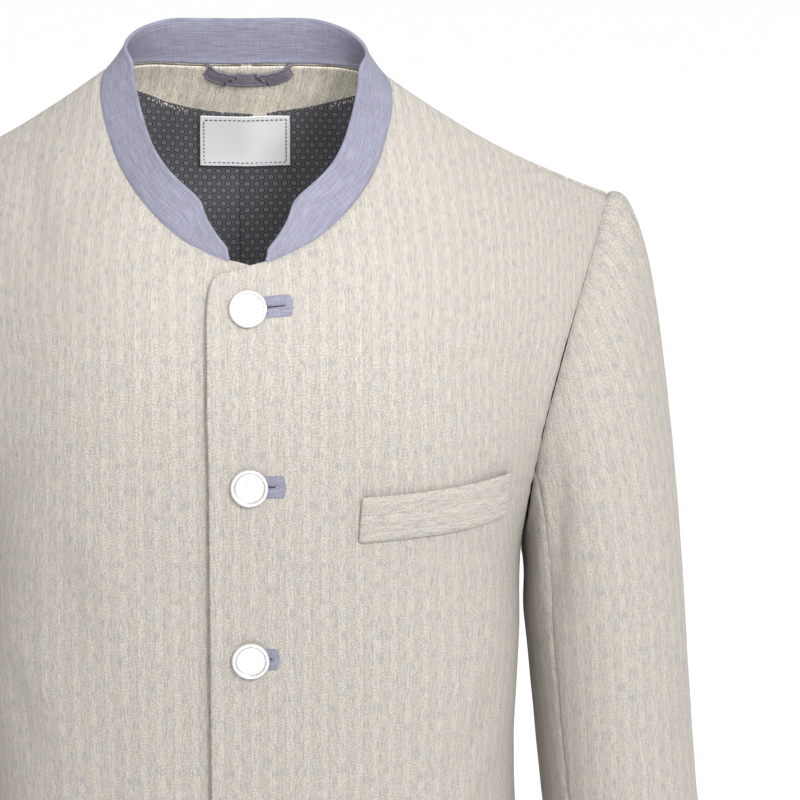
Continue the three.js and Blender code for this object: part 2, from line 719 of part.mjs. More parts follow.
// A tongue with square corners on its left and round ones on its right
function tongueShape(left, right, tall, round) {
  const half = tall / 2;
  const shape = new THREE.Shape();
  shape.moveTo(left, -half);
  shape.lineTo(right - round, -half);
  shape.absarc(right - round, -half + round, round, -Math.PI / 2, 0, false);
  shape.absarc(right - round, half - round, round, 0, Math.PI / 2, false);
  shape.lineTo(left, half);
  shape.closePath();
  return shape;
}

function extruded(shape, low, high) {
  const options = { depth: high - low, bevelEnabled: false, curveSegments: ROUND_STEPS };
  return new THREE.ExtrudeGeometry(shape, options).translate(0, 0, low);
}

function buttonholeLips(hole) {
  const shape = tongueShape(LIPS.left, hole.right, LIPS.tall, LIPS.round);
  const slit = new THREE.Path();
  slit.moveTo(LIPS.left + SLIT.inset, -SLIT.tall / 2);
  slit.lineTo(LIPS.left + SLIT.inset, SLIT.tall / 2);
  slit.lineTo(hole.right - SLIT.inset, SLIT.tall / 2);
  slit.lineTo(hole.right - SLIT.inset, -SLIT.tall / 2);
  slit.closePath();
  shape.holes.push(slit);
  return extruded(shape, LIPS.proud - LIPS.wall, LIPS.proud).rotateZ(hole.tilt * RAD);
}

function buttonholeWindow(hole) {
  const shape = tongueShape(
    LIPS.left - SEAM_GAP, hole.right + SEAM_GAP, LIPS.tall + 2 * SEAM_GAP, LIPS.round + SEAM_GAP);
  return extruded(shape, -2 * CLOTH_WALL, 2 * CLOTH_WALL).rotateZ(hole.tilt * RAD);
}

// A dished metal disc on a flat shank that passes through the slit to the under front
function buttonGeometry() {
  const profile = BUTTON_PROFILE.map((row) => new THREE.Vector2(row.radius, row.height));
  const disc = new THREE.LatheGeometry(profile, BUTTON.sides);
  disc.rotateX(Math.PI / 2).translate(0, 0, BUTTON.clear);
  const low = SHANK.short - LAP_LIFT - UNDERLAP_SINK;
  const high = BUTTON.clear + SHANK.into;
  const shank = new THREE.BoxGeometry(SHANK.wide, SHANK.tall, high - low).translate(0, 0, (high + low) / 2);
  return geometryOf(solidOf(disc).add(solidOf(shank)));
}

function solidOf(geometry) {
  const bare = new THREE.BufferGeometry();
  bare.setAttribute('position', geometry.getAttribute('position').clone());
  if (geometry.index) {
    bare.setIndex(geometry.index.clone());
  }
  const merged = mergeVertices(bare, 1e-4);
  const vertProperties = new Float32Array(merged.getAttribute('position').array);
  const triVerts = new Uint32Array(merged.index.array);
  return new wasm.Manifold(new wasm.Mesh({ numProp: 3, vertProperties, triVerts }));
}

function geometryOf(solid) {
  const mesh = solid.getMesh();
  const geometry = new THREE.BufferGeometry();
  geometry.setAttribute('position', new THREE.BufferAttribute(new Float32Array(mesh.vertProperties), 3));
  geometry.setIndex(new THREE.BufferAttribute(new Uint32Array(mesh.triVerts), 1));
  return geometry;
}

const MATERIALS = {
  linen: new THREE.MeshStandardMaterial({ color: 0xd9d3c6, roughness: 0.92, metalness: 0 }),
  lavender: new THREE.MeshStandardMaterial({ color: 0xa9a8c4, roughness: 0.9, metalness: 0 }),
  lining: new THREE.MeshStandardMaterial({ color: 0x4b4a4c, roughness: 0.6, metalness: 0 }),
  loop: new THREE.MeshStandardMaterial({ color: 0x7e7a84, roughness: 0.8, metalness: 0 }),
  label: new THREE.MeshStandardMaterial({ color: 0xe8ebf0, roughness: 0.7, metalness: 0 }),
  metal: new THREE.MeshStandardMaterial({ color: 0xdfe0e2, roughness: 0.35, metalness: 1 }),
};

const jacket = new THREE.Group();

function addPiece(name, geometry, material) {
  const mesh = new THREE.Mesh(geometry, material);
  mesh.name = name;
  jacket.add(mesh);
  return mesh;
}

const frontLeft = frontSheet(true);
const frontRight = mirrored(frontSheet(false));
const backLeft = backSheet();
const backRight = mirrored(backSheet());
const sleeveLeftUpper = sleeveSheet(-SLEEVE_FRONT_SEAM, SLEEVE_BACK_SEAM);
const sleeveLeftUnder = sleeveSheet(SLEEVE_BACK_SEAM, 2 * ROWS_TO_ARMPIT - SLEEVE_FRONT_SEAM);
const sleeveRightUpper = mirrored(sleeveSheet(-SLEEVE_FRONT_SEAM, SLEEVE_BACK_SEAM));
const sleeveRightUnder = mirrored(sleeveSheet(SLEEVE_BACK_SEAM, 2 * ROWS_TO_ARMPIT - SLEEVE_FRONT_SEAM));
const collar = collarSheet();

const cloth = [frontLeft, frontRight, backLeft, backRight, sleeveLeftUpper, sleeveLeftUnder,
  sleeveRightUpper, sleeveRightUnder, collar];
cloth.forEach(settled);
sewNormals(cloth);

addPiece('front_right', wallGeometry(frontRight, CLOTH_WALL), MATERIALS.linen);
addPiece('back_left', wallGeometry(backLeft, CLOTH_WALL), MATERIALS.linen);
addPiece('back_right', wallGeometry(backRight, CLOTH_WALL), MATERIALS.linen);
addPiece('sleeve_left_upper', wallGeometry(sleeveLeftUpper, CLOTH_WALL), MATERIALS.linen);
addPiece('sleeve_left_under', wallGeometry(sleeveLeftUnder, CLOTH_WALL), MATERIALS.linen);
addPiece('sleeve_right_upper', wallGeometry(sleeveRightUpper, CLOTH_WALL), MATERIALS.linen);
addPiece('sleeve_right_under', wallGeometry(sleeveRightUnder, CLOTH_WALL), MATERIALS.linen);
addPiece('collar', wallGeometry(collar, COLLAR_WALL), MATERIALS.lavender);

// Layers inside the back neck, each clear of the one it lies on
const facingOut = CLOTH_WALL + LAYER_GAP + FACING.wall;
const liningOut = CLOTH_WALL + LINING.clear + LINING.wall;
const labelOut = liningOut + LABEL.stand + LABEL.wall;
const loopOut = facingOut + LOOP.stand + LOOP.wall;
addPiece('facing_back_neck', wallGeometry(facingSheet(), FACING.wall, facingOut), MATERIALS.linen);
addPiece('lining_back_left', wallGeometry(liningSheet(1), LINING.wall, liningOut, 0), MATERIALS.lining);
addPiece('lining_back_right', wallGeometry(liningSheet(-1), LINING.wall, liningOut, 0), MATERIALS.lining);
addPiece('neck_label', wallGeometry(labelSheet(), LABEL.wall, labelOut), MATERIALS.label);
addPiece('hanger_loop', wallGeometry(loopSheet(), LOOP.wall, loopOut), MATERIALS.loop);

const weltOut = WELT_WALL.clear + WELT_WALL.wall;
addPiece('welt_breast', wallGeometry(weltSheet(), WELT_WALL.wall, weltOut), MATERIALS.linen);

let frontLeftSolid = solidOf(wallGeometry(frontLeft, CLOTH_WALL));
buttonHeights().forEach((z, i) => {
  const frame = closingFrame(z);
  frontLeftSolid = frontLeftSolid.subtract(solidOf(buttonholeWindow(HOLES[i]).applyMatrix4(frame)));
  addPiece(`buttonhole_${i + 1}`, buttonholeLips(HOLES[i]).applyMatrix4(frame), MATERIALS.lavender);
  addPiece(`button_${i + 1}`, buttonGeometry().applyMatrix4(frame), MATERIALS.metal);
});
addPiece('front_left', geometryOf(frontLeftSolid), MATERIALS.linen);

export default jacket;
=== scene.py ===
# Trachten jacket, men's size 50, filled out as worn
# Tables and shapes are in millimetres, +Z up; the front faces -Y and the wearer's left is +X

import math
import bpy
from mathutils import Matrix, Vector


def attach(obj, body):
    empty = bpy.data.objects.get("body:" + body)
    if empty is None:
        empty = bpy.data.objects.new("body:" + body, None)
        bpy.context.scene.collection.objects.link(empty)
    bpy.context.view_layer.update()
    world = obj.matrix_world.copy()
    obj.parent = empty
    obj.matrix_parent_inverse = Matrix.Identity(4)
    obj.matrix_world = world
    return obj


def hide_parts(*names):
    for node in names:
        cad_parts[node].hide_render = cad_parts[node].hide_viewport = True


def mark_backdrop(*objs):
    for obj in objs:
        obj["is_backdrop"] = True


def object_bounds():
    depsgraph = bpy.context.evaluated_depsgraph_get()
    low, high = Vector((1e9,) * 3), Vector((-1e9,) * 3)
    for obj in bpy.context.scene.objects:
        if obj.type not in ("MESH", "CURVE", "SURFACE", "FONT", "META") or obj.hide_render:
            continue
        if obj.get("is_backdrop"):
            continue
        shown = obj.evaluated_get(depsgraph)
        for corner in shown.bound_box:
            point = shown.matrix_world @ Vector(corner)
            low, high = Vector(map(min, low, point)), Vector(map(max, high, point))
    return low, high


bl_info = {
    "name": "Trachten Jacket",
    "version": (1, 0, 0),
    "blender": (4, 5, 0),
    "location": "View3D > Sidebar > Jacket",
    "description": "Builds a herringbone linen jacket with a lavender stand collar and metal buttons",
    "category": "Add Mesh",
}

import bpy
import numpy as np
from bpy.props import FloatProperty, FloatVectorProperty, IntProperty, PointerProperty
from mathutils import Matrix, Vector

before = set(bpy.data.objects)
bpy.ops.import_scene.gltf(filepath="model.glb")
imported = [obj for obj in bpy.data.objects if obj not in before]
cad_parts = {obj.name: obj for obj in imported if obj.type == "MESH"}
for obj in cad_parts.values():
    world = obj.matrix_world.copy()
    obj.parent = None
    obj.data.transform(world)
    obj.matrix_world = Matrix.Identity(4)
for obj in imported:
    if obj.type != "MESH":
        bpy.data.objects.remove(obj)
CAD_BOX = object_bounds()
MM = 0.001


# Tables of the cut, with named columns

def table(names, rows):
    """The columns of a table by their names"""
    return dict(zip(names.split(), np.array(rows, float).T))


CENTRE_X = 12
LAP_X = -23
LAP_LIFT = 1.6
UNDERLAP_SINK = 2.6
LAP_FADE_X = 62
ARMPIT_Z = -292
HEM_Z = -690
ROWS_TO_ARMPIT = 12
PIT_AT = 6 / ROWS_TO_ARMPIT
NAPE_AT = 4 / ROWS_TO_ARMPIT
CORNER = {"drop": 28, "straight": 0.33, "sharp": 0.98, "over": 0.34}
HEM_CORNER = {"rise": 26, "from": 1.82, "over": 0.18}
RIGHT_LIFT = {"rise": 5.5, "from_x": 20, "over_x": 75, "from_z": -320, "over_z": 240}

# Neckline seam from the nape (0) over the shoulder point (SHOULDER_AT) to the collar end (1)
SHOULDER_AT = 0.344
NECKLINE = table("at x y z lean tall back", [
    (0.000, 0.0, 21, 6.0, 15, 28, 0),
    (0.170, 45.0, 19, 6.0, 18, 27.5, 0),
    (0.260, 68.0, 12, 5.0, 34, 26, 0),
    (0.344, 85.5, 0, 0.0, 54, 25, 0),
    (0.422, 88.5, -17, -11.6, 54, 25, 0),
    (0.527, 84.5, -39, -28.0, 45, 25, 0),
    (0.655, 74.5, -62, -50.0, 33, 25, 0),
    (0.756, 62.0, -80, -64.5, 26, 25, 0),
    (0.878, 40.0, -97, -81.0, 24, 24, 1),
    (0.950, 24.0, -105, -87.5, 22, 14, 4),
    (1.000, 12.0, -110, -91.5, 20, 6.5, 4),
])

# Armhole seam from the shoulder tip (0) to the armpit (1)
ARMHOLE_FRONT = table("at x y z", [
    (0.00, 219, -12, -70),
    (0.13, 209.5, -38, -97),
    (0.30, 197, -61, -132),
    (0.50, 184, -72, -176),
    (0.70, 174, -70, -219),
    (0.87, 168.5, -50, -262),
    (1.00, 167, -10, ARMPIT_Z),
])
ARMHOLE_BACK = table("at x y z", [
    (0.00, 219, -12, -70),
    (0.13, 212, 14, -94),
    (0.30, 200, 38, -132),
    (0.50, 188, 52, -178),
    (0.70, 178, 52, -224),
    (0.87, 171, 34, -268),
    (1.00, 167, -10, ARMPIT_Z),
])

# Centre lines and side seams by depth below the origin
PROFILE = table("at side seam front back", [
    (-6, 220, -10, -90, 21),
    (50, 210, -10, -100, 58),
    (91.5, 200, -10, -110, 76),
    (160, 190, -10, -134, 92),
    (220, 180, -10, -143, 94),
    (292, 167, -10, -144, 86),
    (340, 165.5, -10, -142, 76),
    (420, 163.5, -8, -138, 63),
    (500, 167, -4, -137, 72),
    (600, 175, 0, -139, 86),
    (720, 181, 2, -136, 84),
])

# How each row leaves the centre (in) and reaches the armhole or side seam (out)
ROW_COLUMNS = "at turn_in drop_in reach_in turn_out drop_out reach_out"
FRONT_ROWS = table(ROW_COLUMNS, [
    (0.00, 0, 36, 0.36, 0, 20, 0.36),
    (0.17, -22, 36, 0.36, 12, 20, 0.36),
    (0.33, -24, 26, 0.36, 26, 14, 0.38),
    (0.50, -6, 8, 0.42, 42, 8, 0.40),
    (0.75, 0, 1, 0.52, 62, 3, 0.42),
    (1.00, 0, 0, 0.58, 88, 0, 0.44),
    (1.40, 0, 0, 0.58, 90, 0, 0.44),
    (2.00, 0, 0, 0.58, 90, 0, 0.44),
])
BACK_ROWS = table(ROW_COLUMNS, [
    (0.00, 0, 36, 0.36, 0, 20, 0.36),
    (0.17, -36, 32, 0.34, 8, 20, 0.36),
    (0.33, -36, 29, 0.32, 24, 18, 0.40),
    (0.45, -14, 11, 0.40, 34, 12, 0.42),
    (0.60, -3, 4, 0.48, 46, 7, 0.42),
    (0.75, 0, 0, 0.52, 60, 3, 0.42),
    (1.00, 0, 0, 0.58, 88, 0, 0.42),
    (1.40, 0, 0, 0.60, 90, 0, 0.42),
    (2.00, 0, 0, 0.60, 90, 0, 0.42),
])

# Sleeve rings below the armpit, half sizes across and fore and aft
ARM = table("at x y z across deep", [
    (0.00, 219, -14, -330, 50.0, 64),
    (0.30, 228, -14, -436, 48.5, 60),
    (0.45, 234, -18, -490, 47.5, 58),
    (0.75, 240, -38, -600, 44.0, 52),
    (1.00, 241, -58, -692, 41.0, 46),
])

# How the sleeve head leaves the armhole, by the angle round the arm from its outer side
CAP = table("at outward forward up reach drop", [
    (0, 1.00, 0.00, 0.14, 26, 170),
    (45, 0.93, 0.24, -0.20, 34, 130),
    (90, 0.62, 0.42, -0.66, 34, 80),
    (135, 0.40, 0.12, -0.90, 22, 34),
    (180, 0.30, 0.00, -0.95, 14, 16),
])
SLEEVE_SEAMS = {"front": -9, "back": 8, "around": 24}

# Front dart by depth below the origin
DART = table("at x", [
    (280, 131), (330, 129), (400, 120), (470, 117), (560, 124),
])

DART_TAKE = 12

# Troughs: from and to, half width, depth, share of the ridge beside it, bow
CREASE_COLUMNS = "a0 b0 a1 b1 width depth ridge bow"
LEFT_FRONT_CREASES = table(CREASE_COLUMNS, [
    (138, -30, 141, -128, 8, 1.7, 0.5, 2),
    (178, -120, 168, -215, 7, 1.5, -0.4, 4),
    (168, -252, 120, -170, 11, 1.5, 0.6, -6),
    (160, -282, 96, -262, 10, 1.3, 0.6, 7),
    (48, -150, 56, -300, 17, 1.0, 0.5, 4),
    (150, -330, 122, -428, 9, 1.7, 0.6, -4),
    (157, -388, 134, -482, 9, 1.6, 0.5, 4),
    (92, -330, 84, -470, 15, 1.3, 0.6, -4),
    (150, -470, 80, -520, 12, 1.5, 0.6, 8),
    (44, -430, 52, -600, 16, 1.2, 0.5, 5),
    (140, -560, 128, -660, 12, 1.4, 0.5, -4),
])
RIGHT_FRONT_CREASES = table(CREASE_COLUMNS, [
    (128, -34, 120, -118, 9, 1.8, 0.6, -3),
    (172, -130, 160, -214, 8, 1.6, 0.5, -4),
    (166, -258, 112, -196, 12, 1.6, 0.6, 7),
    (118, -236, 106, -350, 13, 2.0, 0.5, 5),
    (52, -160, 62, -330, 18, 1.0, 0.5, -5),
    (154, -322, 130, -412, 9, 1.8, 0.6, 5),
    (84, -350, 94, -500, 15, 1.4, 0.5, 4),
    (154, -452, 96, -512, 11, 1.6, 0.6, -8),
    (58, -470, 50, -640, 17, 1.2, 0.5, -5),
    (148, -540, 138, -650, 11, 1.5, 0.6, 4),
])
LEFT_BACK_CREASES = table(CREASE_COLUMNS, [
    (150, -60, 128, -170, 12, 1.9, 0.6, 5),
    (176, -180, 150, -262, 9, 1.8, 0.5, -4),
    (60, -70, 78, -200, 16, 1.2, 0.5, 6),
    (160, -300, 84, -372, 12, 2.0, 0.7, 9),
    (156, -352, 60, -420, 13, 2.2, 0.7, -9),
    (30, -392, 120, -440, 12, 1.7, 0.6, 7),
    (70, -450, 82, -600, 17, 1.5, 0.5, -6),
    (144, -480, 130, -640, 13, 1.5, 0.5, 5),
])
RIGHT_BACK_CREASES = table(CREASE_COLUMNS, [
    (142, -66, 132, -190, 11, 1.7, 0.6, -5),
    (172, -196, 142, -270, 10, 1.9, 0.5, 5),
    (48, -90, 60, -230, 17, 1.2, 0.5, -6),
    (162, -318, 92, -366, 11, 1.9, 0.7, -7),
    (150, -372, 52, -410, 13, 2.1, 0.7, 8),
    (24, -414, 104, -458, 12, 1.6, 0.6, -6),
    (88, -470, 74, -620, 16, 1.5, 0.5, 5),
    (150, -500, 142, -650, 12, 1.4, 0.5, -4),
])

# Sleeve creases by distance round the arm from its outer line (forward negative) and height
LEFT_SLEEVE_CREASES = table(CREASE_COLUMNS, [
    (-106, -205, -133, -345, 8, 2.4, 0.5, 4),
    (-60, -150, -76, -300, 12, 1.4, 0.5, -5),
    (-20, -110, -26, -260, 14, 1.0, 0.5, 4),
    (96, -200, 122, -330, 9, 2.4, 0.6, -5),
    (60, -170, 70, -330, 13, 1.6, 0.5, 5),
    (-120, -448, -40, -470, 9, 1.9, 0.6, -7),
    (-112, -492, -30, -498, 9, 2.2, 0.7, 6),
    (-104, -540, -44, -524, 8, 1.7, 0.6, -5),
    (40, -468, 104, -500, 12, 1.3, 0.5, 6),
    (-50, -560, -30, -680, 11, 1.2, 0.5, 4),
    (60, -570, 44, -676, 12, 1.4, 0.5, -5),
])
RIGHT_SLEEVE_CREASES = table(CREASE_COLUMNS, [
    (-100, -210, -128, -352, 8, 2.2, 0.5, -4),
    (-52, -160, -64, -310, 13, 1.5, 0.5, 5),
    (100, -210, 126, -322, 9, 2.2, 0.6, 5),
    (54, -160, 62, -300, 14, 1.5, 0.5, -4),
    (-124, -462, -36, -452, 9, 2.0, 0.6, 6),
    (-110, -508, -26, -486, 9, 2.1, 0.7, -6),
    (-106, -552, -52, -548, 8, 1.6, 0.6, 4),
    (36, -480, 110, -492, 12, 1.4, 0.5, -6),
    (-44, -570, -38, -684, 12, 1.2, 0.5, -4),
    (66, -560, 50, -670, 11, 1.3, 0.5, 4),
])

# Folds of the lining, by place across and height
LINING_CREASES = table(CREASE_COLUMNS, [
    (14, -150, 96, -96, 7, 2.2, 0.8, 4),
    (22, -182, 120, -140, 8, 2.4, 0.8, -5),
    (8, -118, 60, -84, 6, 1.6, 0.8, 3),
    (-16, -196, -104, -158, 9, 1.6, 0.6, 5),
    (-30, -110, -120, -132, 10, 1.2, 0.5, -6),
])

WELT = {"inner_x": 66.5, "outer_x": 154, "inner_top": -227.5, "outer_top": -224, "slant": 2, "tall": 26}
FACING = {"half_wide": 83, "below": 2.6, "centre_tall": 35.5, "side_tall": 16}
LINING = {"seam_x": -5, "gap": 1.6, "bottom_z": -262, "shoulder_x": 205, "shoulder_z": -84,
          "from": 0.06, "to": 0.84, "arm_gap": 5}
LABEL = {"left": -28.2, "right": 26, "top": -27.8, "bottom": -62.4}
LOOP = {"left": -25.5, "right": 28.5, "top": 4.4, "sag": 5.7, "bow": 3.2, "width": 7.8}
BUTTON_TOP_Z = -118
BUTTON = {"radius": 11.3, "rim": 9.5, "clear": 1.2}
SHANK = {"wide": 1.7, "low": -3.6}
LIPS = {"left": -5, "tall": 12, "round": 1.6}
SLIT_HALF = 0.45
HOLES = table("right tilt", [
    (25.5, 6), (20.5, 1), (16.0, 1), (16.5, 0), (17.0, 0),
])

# Studio, in metres, degrees and watts
KEY_LIGHT = {"place": (0.58, -1.25, 0.55), "aim": (-0.02, 0, -0.15), "size": 0.4, "power": 15.5}
NECK_LIGHT = {"place": (0.05, -1.8, 0.5), "aim": (0.01, 0, -0.05), "angle": 13, "power": 42}
NECK_LIGHT_SOFTNESS = 0.06
ROOM_STRENGTH = 1.06
FLOOR = {"half": 20.0, "z": -0.762}
CAMERA = {"place": (0.0, -2.7575, 0.4462), "aim": (0.093, 0.0, -0.2015), "lens": 207.2, "sensor": 36.0}
CAMERA_REACH = 100.0


# Small mathematics

def lerp(a, b, t):
    return a + (b - a) * t


def ease(t):
    t = np.clip(t, 0, 1)
    return t * t * (3 - 2 * t)


def unit(v):
    return v / np.maximum(np.linalg.norm(v, axis=-1, keepdims=True), 1e-9)


def stack(x, y, z):
    return np.stack(np.broadcast_arrays(x, y, z), -1).astype(float)


def column(rows, name, at):
    """One column of a table, eased smoothly between its rows"""
    places, values = rows["at"], rows[name]
    at = np.asarray(at, float)
    i = np.clip(np.searchsorted(places, at, side="left") - 1, 0, len(places) - 2)
    slopes = np.diff(values) / np.diff(places)
    last = len(slopes) - 1
    along = slopes[i]
    before = np.where(i > 0, (slopes[np.maximum(i - 1, 0)] + along) / 2, along)
    after = np.where(i < last, (along + slopes[np.minimum(i + 1, last)]) / 2, along)
    span = places[i + 1] - places[i]
    t = np.clip((at - places[i]) / span, 0, 1)
    t2, t3 = t ** 2, t ** 3
    low = (2 * t3 - 3 * t2 + 1) * values[i] + (t3 - 2 * t2 + t) * span * before
    return low + (3 * t2 - 2 * t3) * values[i + 1] + (t3 - t2) * span * after


def table_point(rows, at):
    return stack(column(rows, "x", at), column(rows, "y", at), column(rows, "z", at))


def bezier(p0, p1, p2, p3, t):
    t = t[..., None]
    s = 1 - t
    return s ** 3 * p0 + 3 * s * s * t * p1 + 3 * s * t * t * p2 + t ** 3 * p3


# The form of the garment

def heading(turn, drop, backward):
    """A direction that starts along +X, turns and drops"""
    turn, drop = np.radians(turn), np.radians(drop)
    return stack(np.cos(drop) * np.cos(turn), backward * np.cos(drop) * np.sin(turn), -np.sin(drop))


def centre_z(at, start, start_z):
    above = lerp(start_z, ARMPIT_Z, (at - start) / (1 - start))
    return np.where(at <= 1, above, lerp(ARMPIT_Z, HEM_Z, at - 1))


def side_end(armhole, at):
    z = lerp(ARMPIT_Z, HEM_Z, at - 1)
    below = stack(column(PROFILE, "side", -z), column(PROFILE, "seam", -z), z)
    return np.where((at <= 1)[..., None], table_point(armhole, np.minimum(at, 1)), below)


def front_start(at):
    neck = table_point(NECKLINE, lerp(SHOULDER_AT, 1, np.minimum(at / PIT_AT, 1)))
    z = centre_z(at, PIT_AT, NECKLINE["z"][-1])
    centre = stack(CENTRE_X, column(PROFILE, "front", -z), z)
    return np.where((at <= PIT_AT)[..., None], neck, centre)


def back_start(at):
    neck = table_point(NECKLINE, lerp(SHOULDER_AT, 0, np.minimum(at / NAPE_AT, 1)))
    z = centre_z(at, NAPE_AT, NECKLINE["z"][0])
    centre = stack(0, column(PROFILE, "back", -z), z)
    return np.where((at <= NAPE_AT)[..., None], neck, centre)


def row_point(rows, start, end, backward, across, at):
    """A point of a panel, across from its centre line (0) to its side (1) on the row at"""
    chord = np.linalg.norm(end - start, axis=-1)
    leave = heading(column(rows, "turn_in", at), column(rows, "drop_in", at), backward)
    arrive = heading(column(rows, "turn_out", at), column(rows, "drop_out", at), backward)
    p1 = start + leave * (chord * column(rows, "reach_in", at))[..., None]
    p2 = end - arrive * (chord * column(rows, "reach_out", at))[..., None]
    return bezier(start, p1, p2, end, across)


def front_point(across, at):
    across, at = np.broadcast_arrays(np.asarray(across, float), np.asarray(at, float))
    return row_point(FRONT_ROWS, front_start(at), side_end(ARMHOLE_FRONT, at), 1, across, at)


def back_point(across, at):
    across, at = np.broadcast_arrays(np.asarray(across, float), np.asarray(at, float))
    return row_point(BACK_ROWS, back_start(at), side_end(ARMHOLE_BACK, at), -1, across, at)


def lap_point(across, at):
    """The lap beyond the collar end, across from the centre (0) to the front edge (1)"""
    across, at = np.broadcast_arrays(np.asarray(across, float), np.asarray(at, float))
    bend = 1 - np.cbrt(1 - CORNER["sharp"] * across ** 20)
    top_fade = 1 - ease((at - PIT_AT) / CORNER["over"])
    hem_fade = ease((at - HEM_CORNER["from"]) / HEM_CORNER["over"])
    fall = CORNER["drop"] * (CORNER["straight"] * across + bend) * top_fade
    z = front_start(at)[..., 2] - fall + HEM_CORNER["rise"] * bend * hem_fade
    return stack(lerp(CENTRE_X, LAP_X, across), column(PROFILE, "front", -z), z)


def lap_shift(x, upper):
    """How far the fronts part at the closing: out for the left one, in for the right one"""
    share = 1 - ease((x - CENTRE_X) / (LAP_FADE_X - CENTRE_X))
    return -LAP_LIFT * share if upper else UNDERLAP_SINK * share


def settled(points):
    """The right half lifted at its shoulder, and nothing else moved"""
    points = points.copy()
    sideways = ease((-points[..., 0] - RIGHT_LIFT["from_x"]) / RIGHT_LIFT["over_x"])
    upward = ease((points[..., 2] - RIGHT_LIFT["from_z"]) / RIGHT_LIFT["over_z"])
    points[..., 2] += RIGHT_LIFT["rise"] * sideways * upward
    return points


def sleeve_point(turn, row):
    """A point at an angle round the arm, on the way from the armhole (0) to the ring (1) and cuff (2)"""
    turn, row = np.broadcast_arrays(np.asarray(turn, float), np.asarray(row, float))
    wrapped = np.where(turn > 180, turn - 360, turn)
    share = np.abs(wrapped) / 180
    fore = wrapped < 0
    seam = np.where(fore[..., None], table_point(ARMHOLE_FRONT, share), table_point(ARMHOLE_BACK, share))
    ring_at = np.maximum(row - 1, 0)
    step = 0.02
    after, before = np.minimum(1, ring_at + step), np.maximum(0, ring_at - step)
    axis = unit(table_point(ARM, after) - table_point(ARM, before))
    sideways = unit(stack(1, 0, 0) - axis * axis[..., :1])
    rearward = -np.cross(axis, sideways)
    angle = np.radians(wrapped)[..., None]
    ring = table_point(ARM, ring_at)
    ring = ring + sideways * np.cos(angle) * column(ARM, "across", ring_at)[..., None]
    ring = ring + rearward * np.sin(angle) * column(ARM, "deep", ring_at)[..., None]
    round_by = np.abs(wrapped)
    forward = np.sign(wrapped) * column(CAP, "forward", round_by)
    leave = stack(column(CAP, "outward", round_by), forward, column(CAP, "up", round_by))
    p1 = seam + leave * column(CAP, "reach", round_by)[..., None]
    p2 = ring - axis * column(CAP, "drop", round_by)[..., None]
    head = bezier(seam, p1, p2, ring, np.minimum(row, 1))
    return np.where((row >= 1)[..., None], ring, head)


def collar_top(at):
    """Top edge of the collar above a point of the neckline"""
    step = 0.01
    after, before = np.minimum(1, at + step), np.maximum(0, at - step)
    along = unit(table_point(NECKLINE, after) - table_point(NECKLINE, before))
    rise = unit(stack(0, 0, 1) - along * along[..., 2:])
    inward = np.cross(along, rise)
    lean = np.radians(column(NECKLINE, "lean", at))[..., None]
    tall = column(NECKLINE, "tall", at)[..., None]
    top = table_point(NECKLINE, at) - along * column(NECKLINE, "back", at)[..., None]
    return top + rise * tall * np.cos(lean) + inward * tall * np.sin(lean)


# Relief of the cloth: seams, puckers, creases and a slightly uneven hand

def crease_relief(a, b, creases):
    """Soft troughs with a lower ridge beside each, in the two coordinates a and b"""
    relief = np.zeros_like(a)
    for k in range(len(creases["a0"])):
        c = {name: values[k] for name, values in creases.items()}
        da, db = c["a1"] - c["a0"], c["b1"] - c["b0"]
        length = math.hypot(da, db)
        along = ((a - c["a0"]) * da + (b - c["b0"]) * db) / length ** 2
        bow = c["bow"] * 4 * along * (1 - along)
        off = ((a - c["a0"]) * db - (b - c["b0"]) * da) / length - bow
        fade = ease(along / 0.35) * ease((1 - along) / 0.45)
        width = c["width"] * (0.75 + 0.5 * np.clip(along, 0, 1))
        trough = np.exp(-(off / width) ** 2)
        ridge = np.exp(-((off - 1.9 * width) / (1.3 * width)) ** 2)
        relief += fade * c["depth"] * (c["ridge"] * ridge - trough)
    return relief


def distance_to(points, line):
    """How far each point lies from the straight pieces of a line"""
    flat = points.reshape(-1, 3)
    nearest = np.full(len(flat), 1e9)
    steps = np.diff(line, axis=0)
    size = np.maximum((steps ** 2).sum(-1), 1e-9)
    for start in range(0, len(flat), 4000):
        off = flat[start:start + 4000, None] - line[None, :-1]
        share = np.clip((off * steps).sum(-1) / size, 0, 1)
        gaps = off - share[..., None] * steps
        nearest[start:start + 4000] = np.sqrt((gaps ** 2).sum(-1).min(axis=1))
    return nearest.reshape(points.shape[:-1])


def seam_relief(points, line, depth, width, pucker=0.25):
    """A groove along a seam, and the small puckers that its thread draws in the cloth"""
    gap = distance_to(points, line)
    x, y, z = points[..., 0], points[..., 1], points[..., 2]
    waves = np.sin(0.41 * z + 0.23 * x + 1.7 * np.sin(0.05 * z)) * np.sin(0.17 * y + 0.13 * z + 0.07 * x)
    return -depth * np.exp(-(gap / width) ** 2) + pucker * waves * np.exp(-(gap / (6 * width)) ** 2)


def hand_relief(points):
    """Slow unevenness of pressed linen"""
    x, y, z = points[..., 0], points[..., 1], points[..., 2]
    slow = np.sin(0.043 * x + 0.018 * z + 1.1) * np.sin(0.021 * z - 0.035 * y)
    quick = np.sin(0.11 * x - 0.06 * z) * np.sin(0.09 * z + 0.05 * y + 0.6)
    return 0.45 * slow + 0.12 * quick


# Sheets of cloth with a grid of points

def graded(count, near=(0.22, 0.55)):
    """Even steps from 0 to 1 with closer ones at both ends"""
    step = 1 / count
    close = [share * step for share in near]
    return np.array(sorted([*np.linspace(0, 1, count + 1), *close, *[1 - c for c in close]]))


def arc_along(points, axis):
    """Running length along one direction of a grid"""
    steps = np.linalg.norm(np.diff(points, axis=axis), axis=-1)
    lengths = np.cumsum(steps, axis=axis)
    return np.concatenate([np.zeros_like(np.take(lengths, [0], axis=axis)), lengths], axis=axis)


